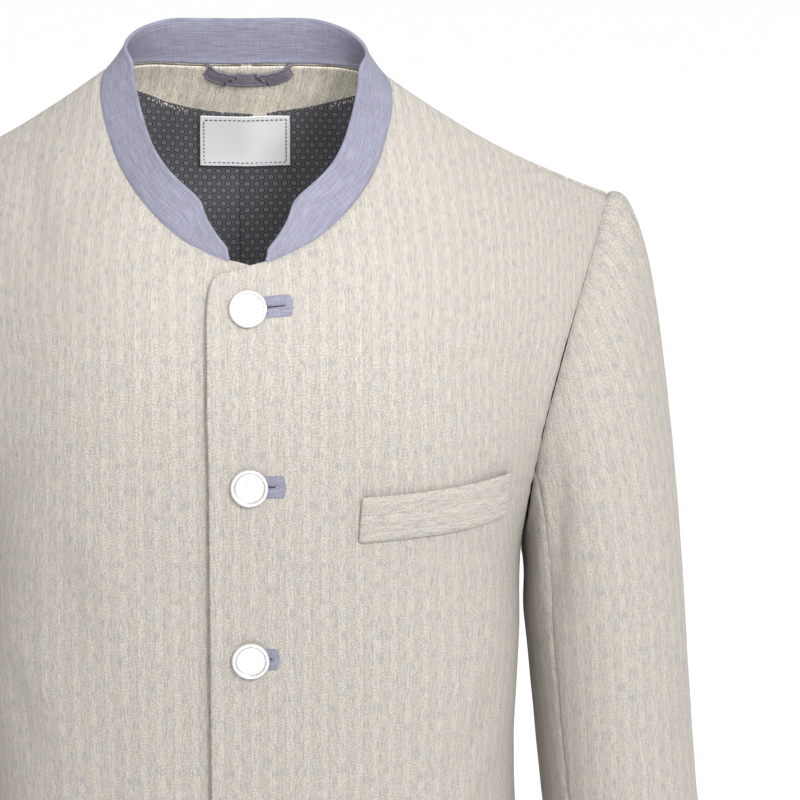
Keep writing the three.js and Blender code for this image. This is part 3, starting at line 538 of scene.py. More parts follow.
def grid_normals(points, open_cells):
    """Directions out of the cloth, from the cells that are open only"""
    a, b = points[:-1, :-1], points[1:, :-1]
    c, d = points[1:, 1:], points[:-1, 1:]
    facing = unit(np.cross(c - a, d - b)) * open_cells[..., None]
    total = np.zeros_like(points)
    total[:-1, :-1] += facing
    total[1:, :-1] += facing
    total[1:, 1:] += facing
    total[:-1, 1:] += facing
    return unit(total)


class Sheet:
    """Cloth as a grid of points facing out of the garment, with its grain as flat coordinates"""

    def __init__(self, points, cloth, open_cells=None, seams=None, jump=None):
        self.points = points
        self.cloth = cloth
        shape = (points.shape[0] - 1, points.shape[1] - 1)
        self.open_cells = np.ones(shape, bool) if open_cells is None else open_cells
        self.seams = np.zeros(points.shape[:2], bool) if seams is None else seams
        self.jump = np.zeros(shape) if jump is None else jump

    def normals(self):
        return grid_normals(self.points, self.open_cells)

    def raised(self, relief):
        self.points = self.points + self.normals() * np.asarray(relief)[..., None]
        return self

    def turned(self):
        """The same cloth facing the other way"""
        return Sheet(self.points[:, ::-1], self.cloth[:, ::-1], self.open_cells[:, ::-1],
                     self.seams[:, ::-1], self.jump[:, ::-1])

    def mirrored(self):
        """The other half of the garment"""
        other = self.turned()
        other.points = other.points * (-1, 1, 1)
        return other

    def area(self):
        """Area in square metres"""
        a, b = self.points[:-1, :-1], self.points[1:, :-1]
        c, d = self.points[1:, 1:], self.points[:-1, 1:]
        size = np.linalg.norm(np.cross(c - a, d - b), axis=-1) / 2
        return float((size * self.open_cells).sum()) * MM ** 2


def border_of(cells, count):
    """Directed edges that only one cell has"""
    starts = cells.ravel()
    ends = np.roll(cells, -1, axis=1).ravel()
    lonely = ~np.isin(starts.astype(np.int64) * count + ends, ends.astype(np.int64) * count + starts)
    return np.stack([starts[lonely], ends[lonely]], -1)


SEAM_ROUNDING = 0.55


def shell_mesh(name, sheet, wall, rounding=1.0):
    """A closed wall of cloth: outer face, inner face, and a rim that is round where the edge is free"""
    rows, columns = sheet.points.shape[:2]
    count = rows * columns
    index = np.arange(count).reshape(rows, columns)
    quads = np.stack([index[:-1, :-1], index[1:, :-1], index[1:, 1:], index[:-1, 1:]], -1)
    cells = quads[sheet.open_cells]
    jumps = sheet.jump[sheet.open_cells]
    outer = sheet.points.reshape(-1, 3)
    normals = sheet.normals().reshape(-1, 3)
    cloth = sheet.cloth.reshape(-1, 2)
    border = border_of(cells, count)
    outward = np.zeros((count, 3))
    sides = np.cross(outer[border[:, 1]] - outer[border[:, 0]], normals[border[:, 0]])
    np.add.at(outward, border[:, 0], unit(sides))
    np.add.at(outward, border[:, 1], unit(sides))
    rim = np.unique(border)
    free = np.where(sheet.seams.ravel()[rim], SEAM_ROUNDING, rounding)[:, None]
    out = unit(outward[rim])
    middle = outer[rim] - normals[rim] * wall / 2
    rings = []
    for angle in np.radians([45, 90, 135]):
        bulge = out * free * math.sin(angle) * wall / 2
        rings.append(middle + bulge + normals[rim] * math.cos(angle) * wall / 2)
    place = np.full(count, -1)
    place[rim] = np.arange(len(rim))
    points = np.concatenate([outer, outer - normals * wall, *rings])
    coords = np.concatenate([cloth, cloth, *[cloth[rim]] * 3])
    loops = [np.arange(count)]
    loops += [2 * count + k * len(rim) + place for k in range(3)]
    loops += [np.arange(count) + count]
    faces = [cells, (cells + count)[:, ::-1]]
    face_jumps = [jumps, jumps]
    start, end = border[:, 0], border[:, 1]
    for near, far in zip(loops, loops[1:]):
        faces.append(np.stack([near[end], near[start], far[start], far[end]], -1))
        face_jumps.append(np.zeros(len(border)))
    return mesh_from(name, points, np.concatenate(faces), coords, np.concatenate(face_jumps))


def mesh_from(name, points, faces, coords=None, jumps=None):
    """A smooth mesh of four-sided faces, with its flat cloth coordinates in metres"""
    used = np.unique(faces)
    renumber = np.zeros(len(points), int)
    renumber[used] = np.arange(len(used))
    faces = renumber[faces]
    mesh = bpy.data.meshes.new(name)
    mesh.from_pydata((points[used] * MM).tolist(), [], faces.tolist())
    if coords is not None:
        flat = coords[used][faces.ravel()].copy()
        if jumps is not None:
            flat[:, 0] += np.repeat(jumps, faces.shape[1])
        layer = mesh.uv_layers.new(name="cloth")
        layer.data.foreach_set("uv", (flat * MM).astype(np.float32).ravel())
    mesh.shade_smooth()
    mesh.validate()
    mesh.update()
    return mesh


def add_piece(name, mesh, material, nodes=()):
    """An object that rides on the garment's one body"""
    made = bpy.data.objects.new(name, mesh)
    bpy.context.scene.collection.objects.link(made)
    mesh.materials.clear()
    mesh.materials.append(material)
    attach(made, "root")
    if nodes:
        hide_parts(*nodes)
    return made


def add_cloth(name, sheet, wall, material, nodes, rounding=1.0):
    """A piece of cloth, with the size of its cut worked out"""
    made = add_piece(name, shell_mesh(name, sheet, wall, rounding), material, nodes)
    flat_width = float(np.ptp(sheet.cloth[..., 0])) * MM
    flat_length = float(np.ptp(sheet.cloth[..., 1])) * MM
    area = min(sheet.area(), flat_width * flat_length)
    return made


# Grain of the panels

def grain_across(points, base, base_across):
    """Distance across the cloth: true below the armpit, in upright planes above it"""
    across = np.zeros(points.shape[:2])
    across[base] = base_across
    across[:base] = base_across + 1.04 * (points[:base, :, 0] - points[base, :, 0])
    for row in range(base, len(points) - 1):
        tangent = unit(np.gradient(points[row + 1], axis=0))
        across[row + 1] = across[row] + ((points[row + 1] - points[row]) * tangent).sum(-1)
    return across


def grain_along(points, base):
    """Distance along the grain by height, measured upward from the base row on the middle column"""
    middle = points[:, points.shape[1] // 2]
    run = arc_along(middle[:, None], 0)[:, 0]
    above = np.maximum(points[..., 2] - middle[0, 2], 0)
    return np.interp(-points[..., 2], -middle[:, 2], run[base] - run) + 1.5 * above


def panel_rows(to_armpit, below):
    top = np.linspace(0, 1, to_armpit + 1)
    top = np.insert(top, 1, [0.2 * top[1], 0.5 * top[1]])
    return np.concatenate([top, 1 + np.linspace(0, 1, below + 1)[1:]])


def dart_x(z):
    return column(DART, "x", np.clip(-z, DART["at"][0], DART["at"][-1]))


def dart_line():
    z = -np.linspace(DART["at"][0] - 6, DART["at"][-1], 150)
    x = dart_x(z)
    spot, _ = spots_on(front_point, x, z, 0.75, 1.2)
    return spot


def front_sheet(upper, creases, sizes):
    """A front of the left half: its lap, and its panel from the centre to the side"""
    rows = panel_rows(sizes.rows_to_armpit, sizes.rows_below)
    lap = 1 - graded(12)
    panel = graded(sizes.panel_columns)
    at = np.repeat(rows[:, None], len(panel), 1)
    body = front_point(panel[None, :] + 0 * at, at)
    flap = lap_point(lap[None, :-1], rows[:, None])
    base = int(np.argmin(np.abs(rows - 1)))
    pit = int(np.argmin(np.abs(rows - PIT_AT)))
    across = grain_across(body, base, CENTRE_X + arc_along(body, 1)[base])
    share = panel[None, :]
    lean = sizes.shoulder_lean / MM * (0.3 + 0.7 * share) * np.clip(1 - at / 0.42, 0, 1) ** 1.5
    length = grain_along(body, base)
    body_cloth = np.stack([across + lean, length], -1)
    centre_run = np.interp(-flap[..., 2], -body[:, 0, 2], length[:, 0])
    flap_cloth = np.stack([flap[..., 0], centre_run], -1)
    points = np.concatenate([flap, body], 1)
    cloth = np.concatenate([flap_cloth, body_cloth], 1)
    points[..., 1] += lap_shift(points[..., 0], upper)
    lap_count = flap.shape[1]
    open_cells = np.ones((points.shape[0] - 1, points.shape[1] - 1), bool)
    open_cells[:pit, :lap_count] = False
    seams = np.zeros(points.shape[:2], bool)
    seams[0, lap_count:] = True
    seams[:, -1] = True
    seams[:pit + 1, lap_count] = True
    middle = (points[:-1, :-1] + points[1:, 1:]) / 2
    beyond = (middle[..., 0] > dart_x(middle[..., 2])) & (middle[..., 2] < -DART["at"][0])
    taken = np.clip((-middle[..., 2] - DART["at"][0]) / np.ptp(DART["at"]), 0, 1)
    jump = np.where(beyond, DART_TAKE * np.sin(np.pi * taken), 0)
    if upper:
        open_cells &= ~under_the_lips(middle)
    sheet = Sheet(points, cloth, open_cells, seams, jump)
    x, z = points[..., 0], points[..., 2]
    relief = crease_relief(x, z, creases) * ease((x - 14) / 30) + hand_relief(points) * ease((x - 10) / 25)
    shift = np.array([0, 1.0, 0])
    for line, depth, width in front_seams():
        relief = relief + seam_relief(points, line + shift * lap_shift(line[:, :1], upper), depth, width)
    edge = arc_along(points, 1)
    relief = relief + 0.5 * np.exp(-(edge / 3.2) ** 2) - 0.22 * np.exp(-((edge - 5) / 1.2) ** 2)
    return sheet.raised(relief)


def under_the_lips(middle):
    """Cells that the bound lips take the place of"""
    covered = np.zeros(middle.shape[:2], bool)
    for frame_matrix, right, tilt in zip(closing_frames(), HOLES["right"], HOLES["tilt"]):
        at = placed(middle, (frame_matrix @ Matrix.Rotation(math.radians(tilt), 4, "Z")).inverted())
        inside = (at[..., 0] > LIPS["left"] + 2) & (at[..., 0] < right - 2.6)
        covered |= inside & (np.abs(at[..., 1]) < LIPS["tall"] / 2 - 2) & (np.abs(at[..., 2]) < 12)
    return covered


def front_seams():
    """Lines that the fronts are sewn along, with depth and width of the groove"""
    at = np.linspace(0, 1, 160)
    neck = table_point(NECKLINE, lerp(SHOULDER_AT, 1, at))
    return [
        (front_point(1.0, at * 2), 0.9, 1.7),
        (front_point(at, 0.0 * at), 0.7, 1.9),
        (neck, 0.7, 1.7),
        (dart_line(), 0.8, 1.5),
    ]


def back_sheet(creases, sizes):
    """A back of the left half, from the centre to the side"""
    rows = panel_rows(sizes.rows_to_armpit, sizes.rows_below)
    panel = graded(sizes.panel_columns)
    at = np.repeat(rows[:, None], len(panel), 1)
    points = back_point(panel[None, :] + 0 * at, at)
    base = int(np.argmin(np.abs(rows - 1)))
    across = grain_across(points, base, arc_along(points, 1)[base])
    lean = 0.3 * sizes.shoulder_lean / MM * panel[None, :] * np.clip(1 - at / 0.42, 0, 1) ** 1.5
    cloth = np.stack([across + lean, grain_along(points, base)], -1)
    seams = np.zeros(points.shape[:2], bool)
    seams[0] = seams[:, 0] = seams[:, -1] = True
    sheet = Sheet(points, cloth, None, seams).turned()
    points = sheet.points
    share = np.linspace(0, 1, 160)
    nape = table_point(NECKLINE, lerp(SHOULDER_AT, 0, share))
    x, z = points[..., 0], points[..., 2]
    relief = crease_relief(x, z, creases) * ease((x - 2) / 20) + hand_relief(points + 40)
    lines = [
        (back_point(1.0, share * 2), 0.9, 1.7),
        (back_point(share, 0.0 * share), 0.7, 1.9),
        (back_point(0.0, lerp(NAPE_AT, 2, share)), 0.9, 1.7),
        (nape, 0.7, 1.7),
    ]
    for line, depth, width in lines:
        relief = relief + seam_relief(points, line, depth, width)
    return sheet.raised(relief)


def sleeve_sheet(first, last, columns, creases, sizes):
    """One piece of the left sleeve between two seam lines, from the armhole to the cuff"""
    full = SLEEVE_SEAMS["around"] / 2
    turns = 180 / full * lerp(first, last, graded(columns))
    head = np.insert(np.linspace(0, 1, sizes.cap_rows + 1), 1, [0.2 / sizes.cap_rows, 0.5 / sizes.cap_rows])
    rows = np.concatenate([head, 1 + np.linspace(0, 1, sizes.arm_rows + 1)[1:]])
    turn = np.repeat(turns[None, :], len(rows), 0)
    row = np.repeat(rows[:, None], len(turns), 1)
    points = sleeve_point(turn, row)
    ring_at = np.maximum(row - 1, 0)
    ring = sleeve_point(turn, np.ones_like(row))
    climb = np.maximum(points[..., 2] - ring[..., 2], 0) * (row < 1)
    centre_x = ARM["x"][0] - 0.06 * climb - 45 * (climb / 260) ** 2
    forward = (points[..., 1] - ARM["y"][0]) / ARM["deep"][0]
    sideways = (points[..., 0] - centre_x) / ARM["across"][0]
    raw = np.arctan2(forward, sideways)
    aim = np.radians(turn)
    round_by = np.where(row < 1, aim + (raw - aim + np.pi) % (2 * np.pi) - np.pi, aim)
    radius = (column(ARM, "across", ring_at) + column(ARM, "deep", ring_at)) / 2
    run = arc_along(points, 0)
    base = int(np.argmin(np.abs(rows - 1)))
    cloth = np.stack([radius * round_by, run[base] - run], -1)
    seams = np.zeros(points.shape[:2], bool)
    seams[0] = seams[:, 0] = seams[:, -1] = True
    sheet = Sheet(points, cloth, None, seams)
    wrapped = np.where(turn > 180, turn - 360, turn)
    relief = crease_relief(radius * np.radians(wrapped), points[..., 2], creases)
    relief = relief * ease(arc_along(points, 0) / 18) + hand_relief(points)
    share = np.linspace(0, 1, 160)
    around = lerp(-180, 180, share)
    lines = [(sleeve_point(around, 0 * share), 0.9, 1.7)]
    lines += [(sleeve_point(180 / full * seam, 2 * share), 0.8, 1.5)
              for seam in (SLEEVE_SEAMS["front"], SLEEVE_SEAMS["back"])]
    for line, depth, width in lines:
        relief = relief + seam_relief(points, line, depth, width)
    relief = relief + cap_relief(points, turn, row)
    return sheet.raised(relief)


def cap_relief(points, turn, row):
    """The sleeve head stands a little proud of the armhole seam, with eased fullness"""
    wrapped = np.where(turn > 180, turn - 360, turn)
    run = arc_along(points, 0)
    crown = np.exp(-(wrapped / 75) ** 2) * (row < 1)
    swell = 1.1 * crown * (np.exp(-((run - 9) / 7) ** 2))
    fullness = 0.22 * crown * np.sin(np.radians(wrapped) * 26) * np.exp(-((run - 12) / 12) ** 2)
    return swell + fullness


def collar_sheet():
    """The band from the wearer's left end round the nape to the right end"""
    to_shoulder = lerp(0, SHOULDER_AT, np.linspace(0, 1, 40))
    to_front = lerp(SHOULDER_AT, 1, np.linspace(0, 1, 76))[1:]
    half = np.concatenate([to_shoulder, to_front])
    half = np.append(half, [0.995, 0.985])
    half = np.sort(np.unique(half))
    stops = np.concatenate([-half[:0:-1], half])
    tall = graded(10)[:, None]
    at = np.abs(stops)[None, :] + 0 * tall
    side = np.where(stops < 0, -1.0, 1.0)[None, :]
    low = table_point(NECKLINE, at)
    points = low + (collar_top(at) - low) * (1 - tall)[..., None]
    out = at > SHOULDER_AT
    shift_left = np.where(out, lap_shift(low[..., 0], True), 0)
    shift_right = np.where(out, lap_shift(low[..., 0], False), 0)
    points[..., 1] += np.where(side > 0, shift_left, shift_right)
    points[..., 0] *= side
    seam_run = arc_along(points[-1:], 1)
    cloth = np.stack([arc_along(points, 0), seam_run + 0 * tall], -1)
    seams = np.zeros(points.shape[:2], bool)
    seams[-1] = True
    sheet = Sheet(points, cloth, None, seams).turned()
    height = arc_along(sheet.points, 0)
    ends = np.minimum(arc_along(sheet.points, 1), arc_along(sheet.points[:, ::-1], 1)[:, ::-1])
    edge = np.minimum(height, ends)
    relief = 0.45 * np.exp(-(edge / 2.4) ** 2) - 0.3 * np.exp(-((edge - 3.2) / 0.9) ** 2)
    seam = arc_along(sheet.points[::-1], 0)[::-1]
    relief = relief - 0.8 * np.exp(-(seam / 1.5) ** 2)
    run = sheet.cloth[..., 1]
    relief = relief + 0.3 * np.sin(run * 0.075 + 1) * np.sin(height * 0.12) + 0.15 * np.sin(run * 0.21)
    return sheet.raised(relief)


# Pieces that lie on or in a panel

def spots_on(panel, x, z, across, at):
    """Points of a panel at a given x and z, and the directions there that face the front"""
    x, z = np.broadcast_arrays(np.asarray(x, float), np.asarray(z, float))
    across = np.full(x.shape, float(across))
    at = np.full(x.shape, float(at))
    step = 0.001
    for _ in range(30):
        p = panel(across, at)
        sideways = (panel(across + step, at) - p) / step
        down = (panel(across, at + step) - p) / step
        area = sideways[..., 0] * down[..., 2] - down[..., 0] * sideways[..., 2]
        dx, dz = x - p[..., 0], z - p[..., 2]
        across = np.clip(across + (dx * down[..., 2] - dz * down[..., 0]) / area, 0, 0.998)
        at = np.clip(at + (dz * sideways[..., 0] - dx * sideways[..., 2]) / area, 0.001, 1.99)
    p = panel(across, at)
    normal = unit(np.cross(panel(across, at + step) - p, panel(across + step, at) - p))
    return p, normal


def inside_points(x, z, inward):
    """Points inside the back neck, so far in from the outside of the back"""
    point, normal = spots_on(back_point, np.abs(x), z, 0.2, 0.45)
    side = np.where(x < 0, -1.0, 1.0)
    point[..., 0] *= side
    normal[..., 0] *= side
    return point + normal * np.asarray(inward)[..., None]


def neck_seam_z(x):
    share = np.clip(np.abs(x) / FACING["half_wide"], 0, 1)
    return column(NECKLINE, "z", SHOULDER_AT * share) - FACING["below"]


def facing_edge_z(x):
    share = np.clip(np.abs(x) / FACING["half_wide"], 0, 1)
    return NECKLINE["z"][0] - lerp(FACING["centre_tall"], FACING["side_tall"], share * share)


def lining_top_z(x):
    past = np.clip((np.abs(x) - FACING["half_wide"]) / (LINING["shoulder_x"] - FACING["half_wide"]), 0, 1)
    return lerp(facing_edge_z(x) - LINING["gap"], LINING["shoulder_z"], past)


def facing_sheet(inward):
    across = np.linspace(0, 1, 60)[None, :]
    down = np.linspace(0, 1, 16)[:, None]
    x = lerp(-FACING["half_wide"], FACING["half_wide"], across) + 0 * down
    z = lerp(neck_seam_z(x) + 1.5, facing_edge_z(x), down)
    points = inside_points(x, z, np.full(x.shape, inward))
    cloth = np.stack([arc_along(points, 1) - FACING["half_wide"], -arc_along(points, 0)], -1)
    sheet = Sheet(points, cloth)
    relief = 0.5 * np.sin(x * 0.09 + 0.6) * down + 0.35 * np.sin(x * 0.23) * down ** 2
    return sheet.raised(relief)


def lining_sheet(side, inward):
    across = np.linspace(0, 1, 64)[None, :]
    down = graded(60)[:, None]
    edge = table_point(ARMHOLE_BACK, lerp(LINING["from"], LINING["to"], down))[..., 0]
    share = across if side > 0 else 1 - across
    x = lerp(LINING["seam_x"] + side * 0.1 + 0 * across, side * (edge - LINING["arm_gap"]), share)
    z = lerp(lining_top_z(x) + 3.5, LINING["bottom_z"], down)
    points = inside_points(x, z, np.full(x.shape, inward))
    cloth = np.stack([x * 1.04, points[..., 2] * 1.06], -1)
    sheet = Sheet(points, cloth)
    relief = 0.9 + 0.7 * crease_relief(x, z, LINING_CREASES) + 0.3 * np.sin(0.11 * x) * np.sin(0.08 * z)
    relief = relief * ease((-72 - z) / 20) - 0.6 * np.exp(-((x - LINING["seam_x"]) / 1.2) ** 2)
    fold = 2.0 * np.exp(-((x - LINING["seam_x"] - 3.2) / 2.2) ** 2) * (side > 0)
    return sheet.raised(relief + fold * ease((-80 - z) / 30))


def label_sheet(inward):
    across = graded(26)[None, :]
    down = graded(18)[:, None]
    x = lerp(LABEL["left"], LABEL["right"], across) + 0 * down
    z = lerp(LABEL["top"], LABEL["bottom"], down) + 0 * across
    points = inside_points(x, z, np.full(x.shape, inward))
    cloth = np.stack([arc_along(points, 1), -arc_along(points, 0)], -1)
    sheet = Sheet(points, cloth)
    relief = 0.25 * np.sin(x * 0.16) * np.sin(z * 0.11 + 1) + 0.3 * np.exp(-((z - LABEL["bottom"]) / 5) ** 2)
    return sheet.raised(relief)


def loop_sheet(inward):
    along = np.linspace(0, 1, 90)[None, :]
    width = graded(8)[:, None]
    swing = 2 * along - 1
    x = lerp(LOOP["left"], LOOP["right"], along)
    z = LOOP["top"] - LOOP["sag"] * (1 - np.abs(swing) ** LOOP["bow"])
    half_wide = (LOOP["right"] - LOOP["left"]) / 2
    slope = LOOP["sag"] * LOOP["bow"] * np.sign(swing) * np.abs(swing) ** (LOOP["bow"] - 1) / half_wide
    size = np.hypot(1, slope)
    offset = (0.5 - width) * LOOP["width"]
    bow = 1.6 * (1 - swing ** 2) - 2.8 * ease((np.abs(swing) - 0.82) / 0.18)
    points = inside_points(x - slope / size * offset, z + offset / size, inward + bow + 0 * width)
    cloth = np.stack([arc_along(points, 0), arc_along(points, 1)], -1)
    sheet = Sheet(points, cloth)
    edge = np.minimum(width, 1 - width) * LOOP["width"]
    groove = -0.35 * np.exp(-((edge - 0.9) / 0.35) ** 2)
    relief = groove + 0.25 * np.sin(along * 55) * np.exp(-((edge - 0.9) / 1.2) ** 2)
    return sheet.raised(relief)


def welt_sheet(outward):
    across = graded(44)[None, :]
    down = graded(14)[:, None]
    x = lerp(WELT["inner_x"], WELT["outer_x"], across) - WELT["slant"] * down
    z = lerp(WELT["inner_top"], WELT["outer_top"], across) - WELT["tall"] * down
    point, normal = spots_on(front_point, x, z, 0.5, 0.8)
    points = point + normal * outward
    cloth = np.stack([arc_along(points, 0), arc_along(points, 1)], -1)
    sheet = Sheet(points, cloth)
    run, fall = arc_along(points, 1), arc_along(points, 0)
    back_run, back_fall = run[:, -1:] - run, fall[-1:] - fall
    ends = np.minimum(run, back_run)
    relief = 0.35 * np.exp(-(fall / 3.5) ** 2) - 1.2 * np.exp(-(back_fall / 1.6) ** 2)
    relief = relief - 0.9 * np.exp(-(ends / 1.3) ** 2)
    relief = relief - 0.25 * np.exp(-((ends - 2.6) / 0.8) ** 2)
    return sheet.raised(relief + hand_relief(points) * 0.6)


# The closing: places of the buttons and holes

def closing_frames():
    """A matrix for each button: x across, y up and z out of the left front"""
    pitch = sizes_of(bpy.context).button_pitch / MM
    z = np.arange(BUTTON_TOP_Z, HEM_Z, -0.5)
    front = column(PROFILE, "front", -z)
    run = np.concatenate([[0], np.cumsum(np.hypot(0.5, np.diff(front)))])
    heights = np.interp(np.arange(len(HOLES["right"])) * pitch, run, z)
    frames = []
    for height in heights:
        slope = float(column(PROFILE, "front", -height - 5) - column(PROFILE, "front", -height + 5)) / 10
        up = Vector((0, slope, 1)).normalized()
        right = Vector((1, 0, 0))
        out = right.cross(up)
        place = Vector((0, float(column(PROFILE, "front", -height)) - LAP_LIFT, height))
        rotation = Matrix((right, up, out)).transposed().to_4x4()
        frames.append(Matrix.Translation(place) @ rotation)
    return frames


def placed(points, frame_matrix):
    """Points in millimetres carried into the garment's frame"""
    m = np.array(frame_matrix)
    return points @ m[:3, :3].T + m[:3, 3]


def sizes_of(context):
    return context.scene.jacket_sizes


def colours_of(context):
    return context.scene.jacket_colours


# Bound holes, buttons and stitches

def lips_sheet(right):
    """Two padded lips in one tongue, with the slit left open, in the button's own frame"""
    left, half = LIPS["left"], LIPS["tall"] / 2
    x = np.concatenate([np.linspace(left, right - LIPS["round"], 42), right - LIPS["round"] + LIPS["round"]
                        * np.sin(np.linspace(0, 0.985 * np.pi / 2, 14))[1:]])[None, :]
    past = np.clip(x - (right - LIPS["round"]), 0, LIPS["round"])
    tall = half - LIPS["round"] + np.sqrt(LIPS["round"] ** 2 - past ** 2)
    side = np.linspace(SLIT_HALF / half, 1, 11)
    share = np.concatenate([side[::-1], -side])[:, None]
    y = share * tall
    gap = (np.abs(share) * half - SLIT_HALF) / (half - SLIT_HALF)
    swell = np.sin(np.pi * np.clip(0.12 + 0.76 * gap, 0, 1)) ** 0.7
    end = ease((right - x) / 2.4) * ease((x - left + 1.2) / 2.2)
    slit = ease((right - 2.8 - x) / 0.8) * ease((x - left - 2.0) / 1.2)
    z = 0.25 + 0.95 * swell * (0.35 + 0.65 * end) - (0.12 + 0.65 * slit) * np.exp(-(gap / 0.14) ** 2)
    z = z + 0.06 * np.sin(x * 1.9 + 3 * share) * swell
    points = stack(x + 0 * y, y, z)
    cloth = np.stack([y + 0 * x, x + 0 * y], -1)
    open_cells = np.ones((points.shape[0] - 1, points.shape[1] - 1), bool)
    within = (x[0, :-1] > left + 2.4) & (x[0, 1:] < right - 3.2)
    open_cells[10, within] = False
    return Sheet(points, cloth, open_cells)


def button_height(x, y):
    """Top of the button: raised rim, dish, and a sprig of three leaves"""
    r = np.hypot(x, y)
    radius, rim = BUTTON["radius"], BUTTON["rim"]
    edge = 2.35 - 1.5 * np.clip((r - radius + 1.0) / 1.0, 0, 1) ** 2
    dish = 1.5 + 0.35 * (1 - (r / rim) ** 2)
    height = lerp(dish, edge, ease((r - rim + 0.7) / 0.7))
    height = height - 0.2 * np.exp(-((r - rim + 0.9) / 0.5) ** 2)
    for centre_x, centre_y, angle, long, wide in LEAVES:
        turn = math.radians(angle)
        a = (x - centre_x) * math.cos(turn) + (y - centre_y) * math.sin(turn)
        b = -(x - centre_x) * math.sin(turn) + (y - centre_y) * math.cos(turn)
        body = np.clip(1 - (a / long) ** 2 - (b / (wide * (1 - 0.35 * a / long))) ** 2, 0, 1) ** 0.5
        vein = 0.15 * np.exp(-(b / 0.3) ** 2) * (body > 0)
        height = height + 0.45 * body - vein * body
    stalk = np.exp(-((x - 0.35 * np.sin(y * 0.5)) / 0.4) ** 2) * ease((y + 8.2) / 1) * ease((1.5 - y) / 3)
    height = height + 0.25 * stalk
    beads = np.cos(np.arctan2(y, x) * 44) * np.exp(-((r - rim + 1.7) / 0.45) ** 2)
    return height + 0.05 * beads


LEAVES = [
    (0.0, 2.6, 90, 4.4, 2.3),
    (-4.0, -0.9, 142, 3.9, 2.1),
    (4.0, -0.9, 38, 3.9, 2.1),
    (-3.1, -5.0, 196, 2.6, 1.3),
    (3.1, -5.0, -16, 2.6, 1.3),
]


def button_mesh(name, frame_matrix):
    """A relief disc with a rounded edge, a plain back and a flat shank"""
    radius = BUTTON["radius"]
    radii = np.concatenate([[0.35], np.linspace(0.8, 8.2, 30), np.linspace(8.35, radius, 20)])[:, None]
    angle = np.linspace(0, 2 * np.pi, 113)[None, :-1]
    x, y = radii * np.cos(angle), radii * np.sin(angle)
    top = stack(x, y, button_height(x, y))
    low_radii = np.array([radius, radius - 0.6, radius * 0.6, 0.35])[:, None]
    low_z = np.array([0.6, 0.0, 0.0, 0.0])[:, None]
    under = stack(low_radii * np.cos(angle), low_radii * np.sin(angle), low_z + 0 * angle)
    rings = np.concatenate([top, under])
    rings[..., 2] += BUTTON["clear"]
    count = rings.shape[1]
    index = np.arange(rings.shape[0] * count).reshape(-1, count)
    here, after = index, np.roll(index, -1, axis=1)
    faces = np.stack([here[:-1], here[1:], after[1:], after[:-1]], -1).reshape(-1, 4).tolist()
    faces.append(index[0].tolist())
    faces.append(index[-1][::-1].tolist())
    points = rings.reshape(-1, 3)
    wide, low = SHANK["wide"], SHANK["low"]
    ring = np.radians(np.arange(0, 360, 30))
    for depth in (low, BUTTON["clear"] + 0.3):
        points = np.concatenate([points, stack(wide * np.cos(ring), 0.4 * np.sin(ring), depth)])
    first = rings.shape[0] * count
    for k in range(12):
        after_k = (k + 1) % 12
        faces.append([first + k, first + after_k, first + 12 + after_k, first + 12 + k])
    faces.append([first + k for k in range(11, -1, -1)])
    faces.append([first + 12 + k for k in range(12)])
    mesh = bpy.data.meshes.new(name)
    mesh.from_pydata((placed(points, frame_matrix) * MM).tolist(), [], faces)
    layer = mesh.uv_layers.new(name="cloth")
    corners = np.zeros(len(mesh.loops), int)
    mesh.loops.foreach_get("vertex_index", corners)
    layer.data.foreach_set("uv", (points[corners][:, :2] * MM).astype(np.float32).ravel())
    mesh.shade_smooth()
    mesh.validate()
    return mesh


def stitch_mesh(name, centres, along, normals, long, wide, tall):
    """Short raised stitches that sink into the cloth at both ends"""
    a = np.linspace(-1, 1, 6)[None, :]
    b = np.linspace(-1, 1, 5)[:, None]
    round_b = np.sin(b * np.pi / 2) * np.sqrt(np.clip(1 - 0.7 * a * a, 0, 1))
    rise = np.sqrt(np.clip(1 - a * a, 0, 1)) * np.cos(b * np.pi / 2) - 0.35
    template = np.stack(np.broadcast_arrays(a * long / 2, round_b * wide / 2, rise * tall), -1).reshape(-1, 3)
    across = unit(np.cross(normals, along))
    along = unit(np.cross(across, normals))
    points = centres[:, None] + template[None, :, :1] * along[:, None]
    points = points + template[None, :, 1:2] * across[:, None] + template[None, :, 2:] * normals[:, None]
    index = np.arange(30).reshape(5, 6)
    quads = np.stack([index[:-1, :-1], index[:-1, 1:], index[1:, 1:], index[1:, :-1]], -1).reshape(-1, 4)
    faces = (quads[None] + 30 * np.arange(len(centres))[:, None, None]).reshape(-1, 4)
    flat = points.reshape(-1, 3)
    return mesh_from(name, flat, faces, np.stack([flat[:, 0], flat[:, 2]], -1))


def spread(line, pitch):
    """Even places on a line, with the direction of the line there"""
    run = np.concatenate([[0], np.cumsum(np.linalg.norm(np.diff(line, axis=0), axis=-1))])
    at = np.arange(pitch / 2, run[-1], pitch)
    here = np.stack([np.interp(at, run, line[:, k]) for k in range(3)], -1)
    beyond = np.stack([np.interp(at + 0.5, run, line[:, k]) for k in range(3)], -1)
    before = np.stack([np.interp(at - 0.5, run, line[:, k]) for k in range(3)], -1)
    return here, unit(beyond - before)


# Nodes

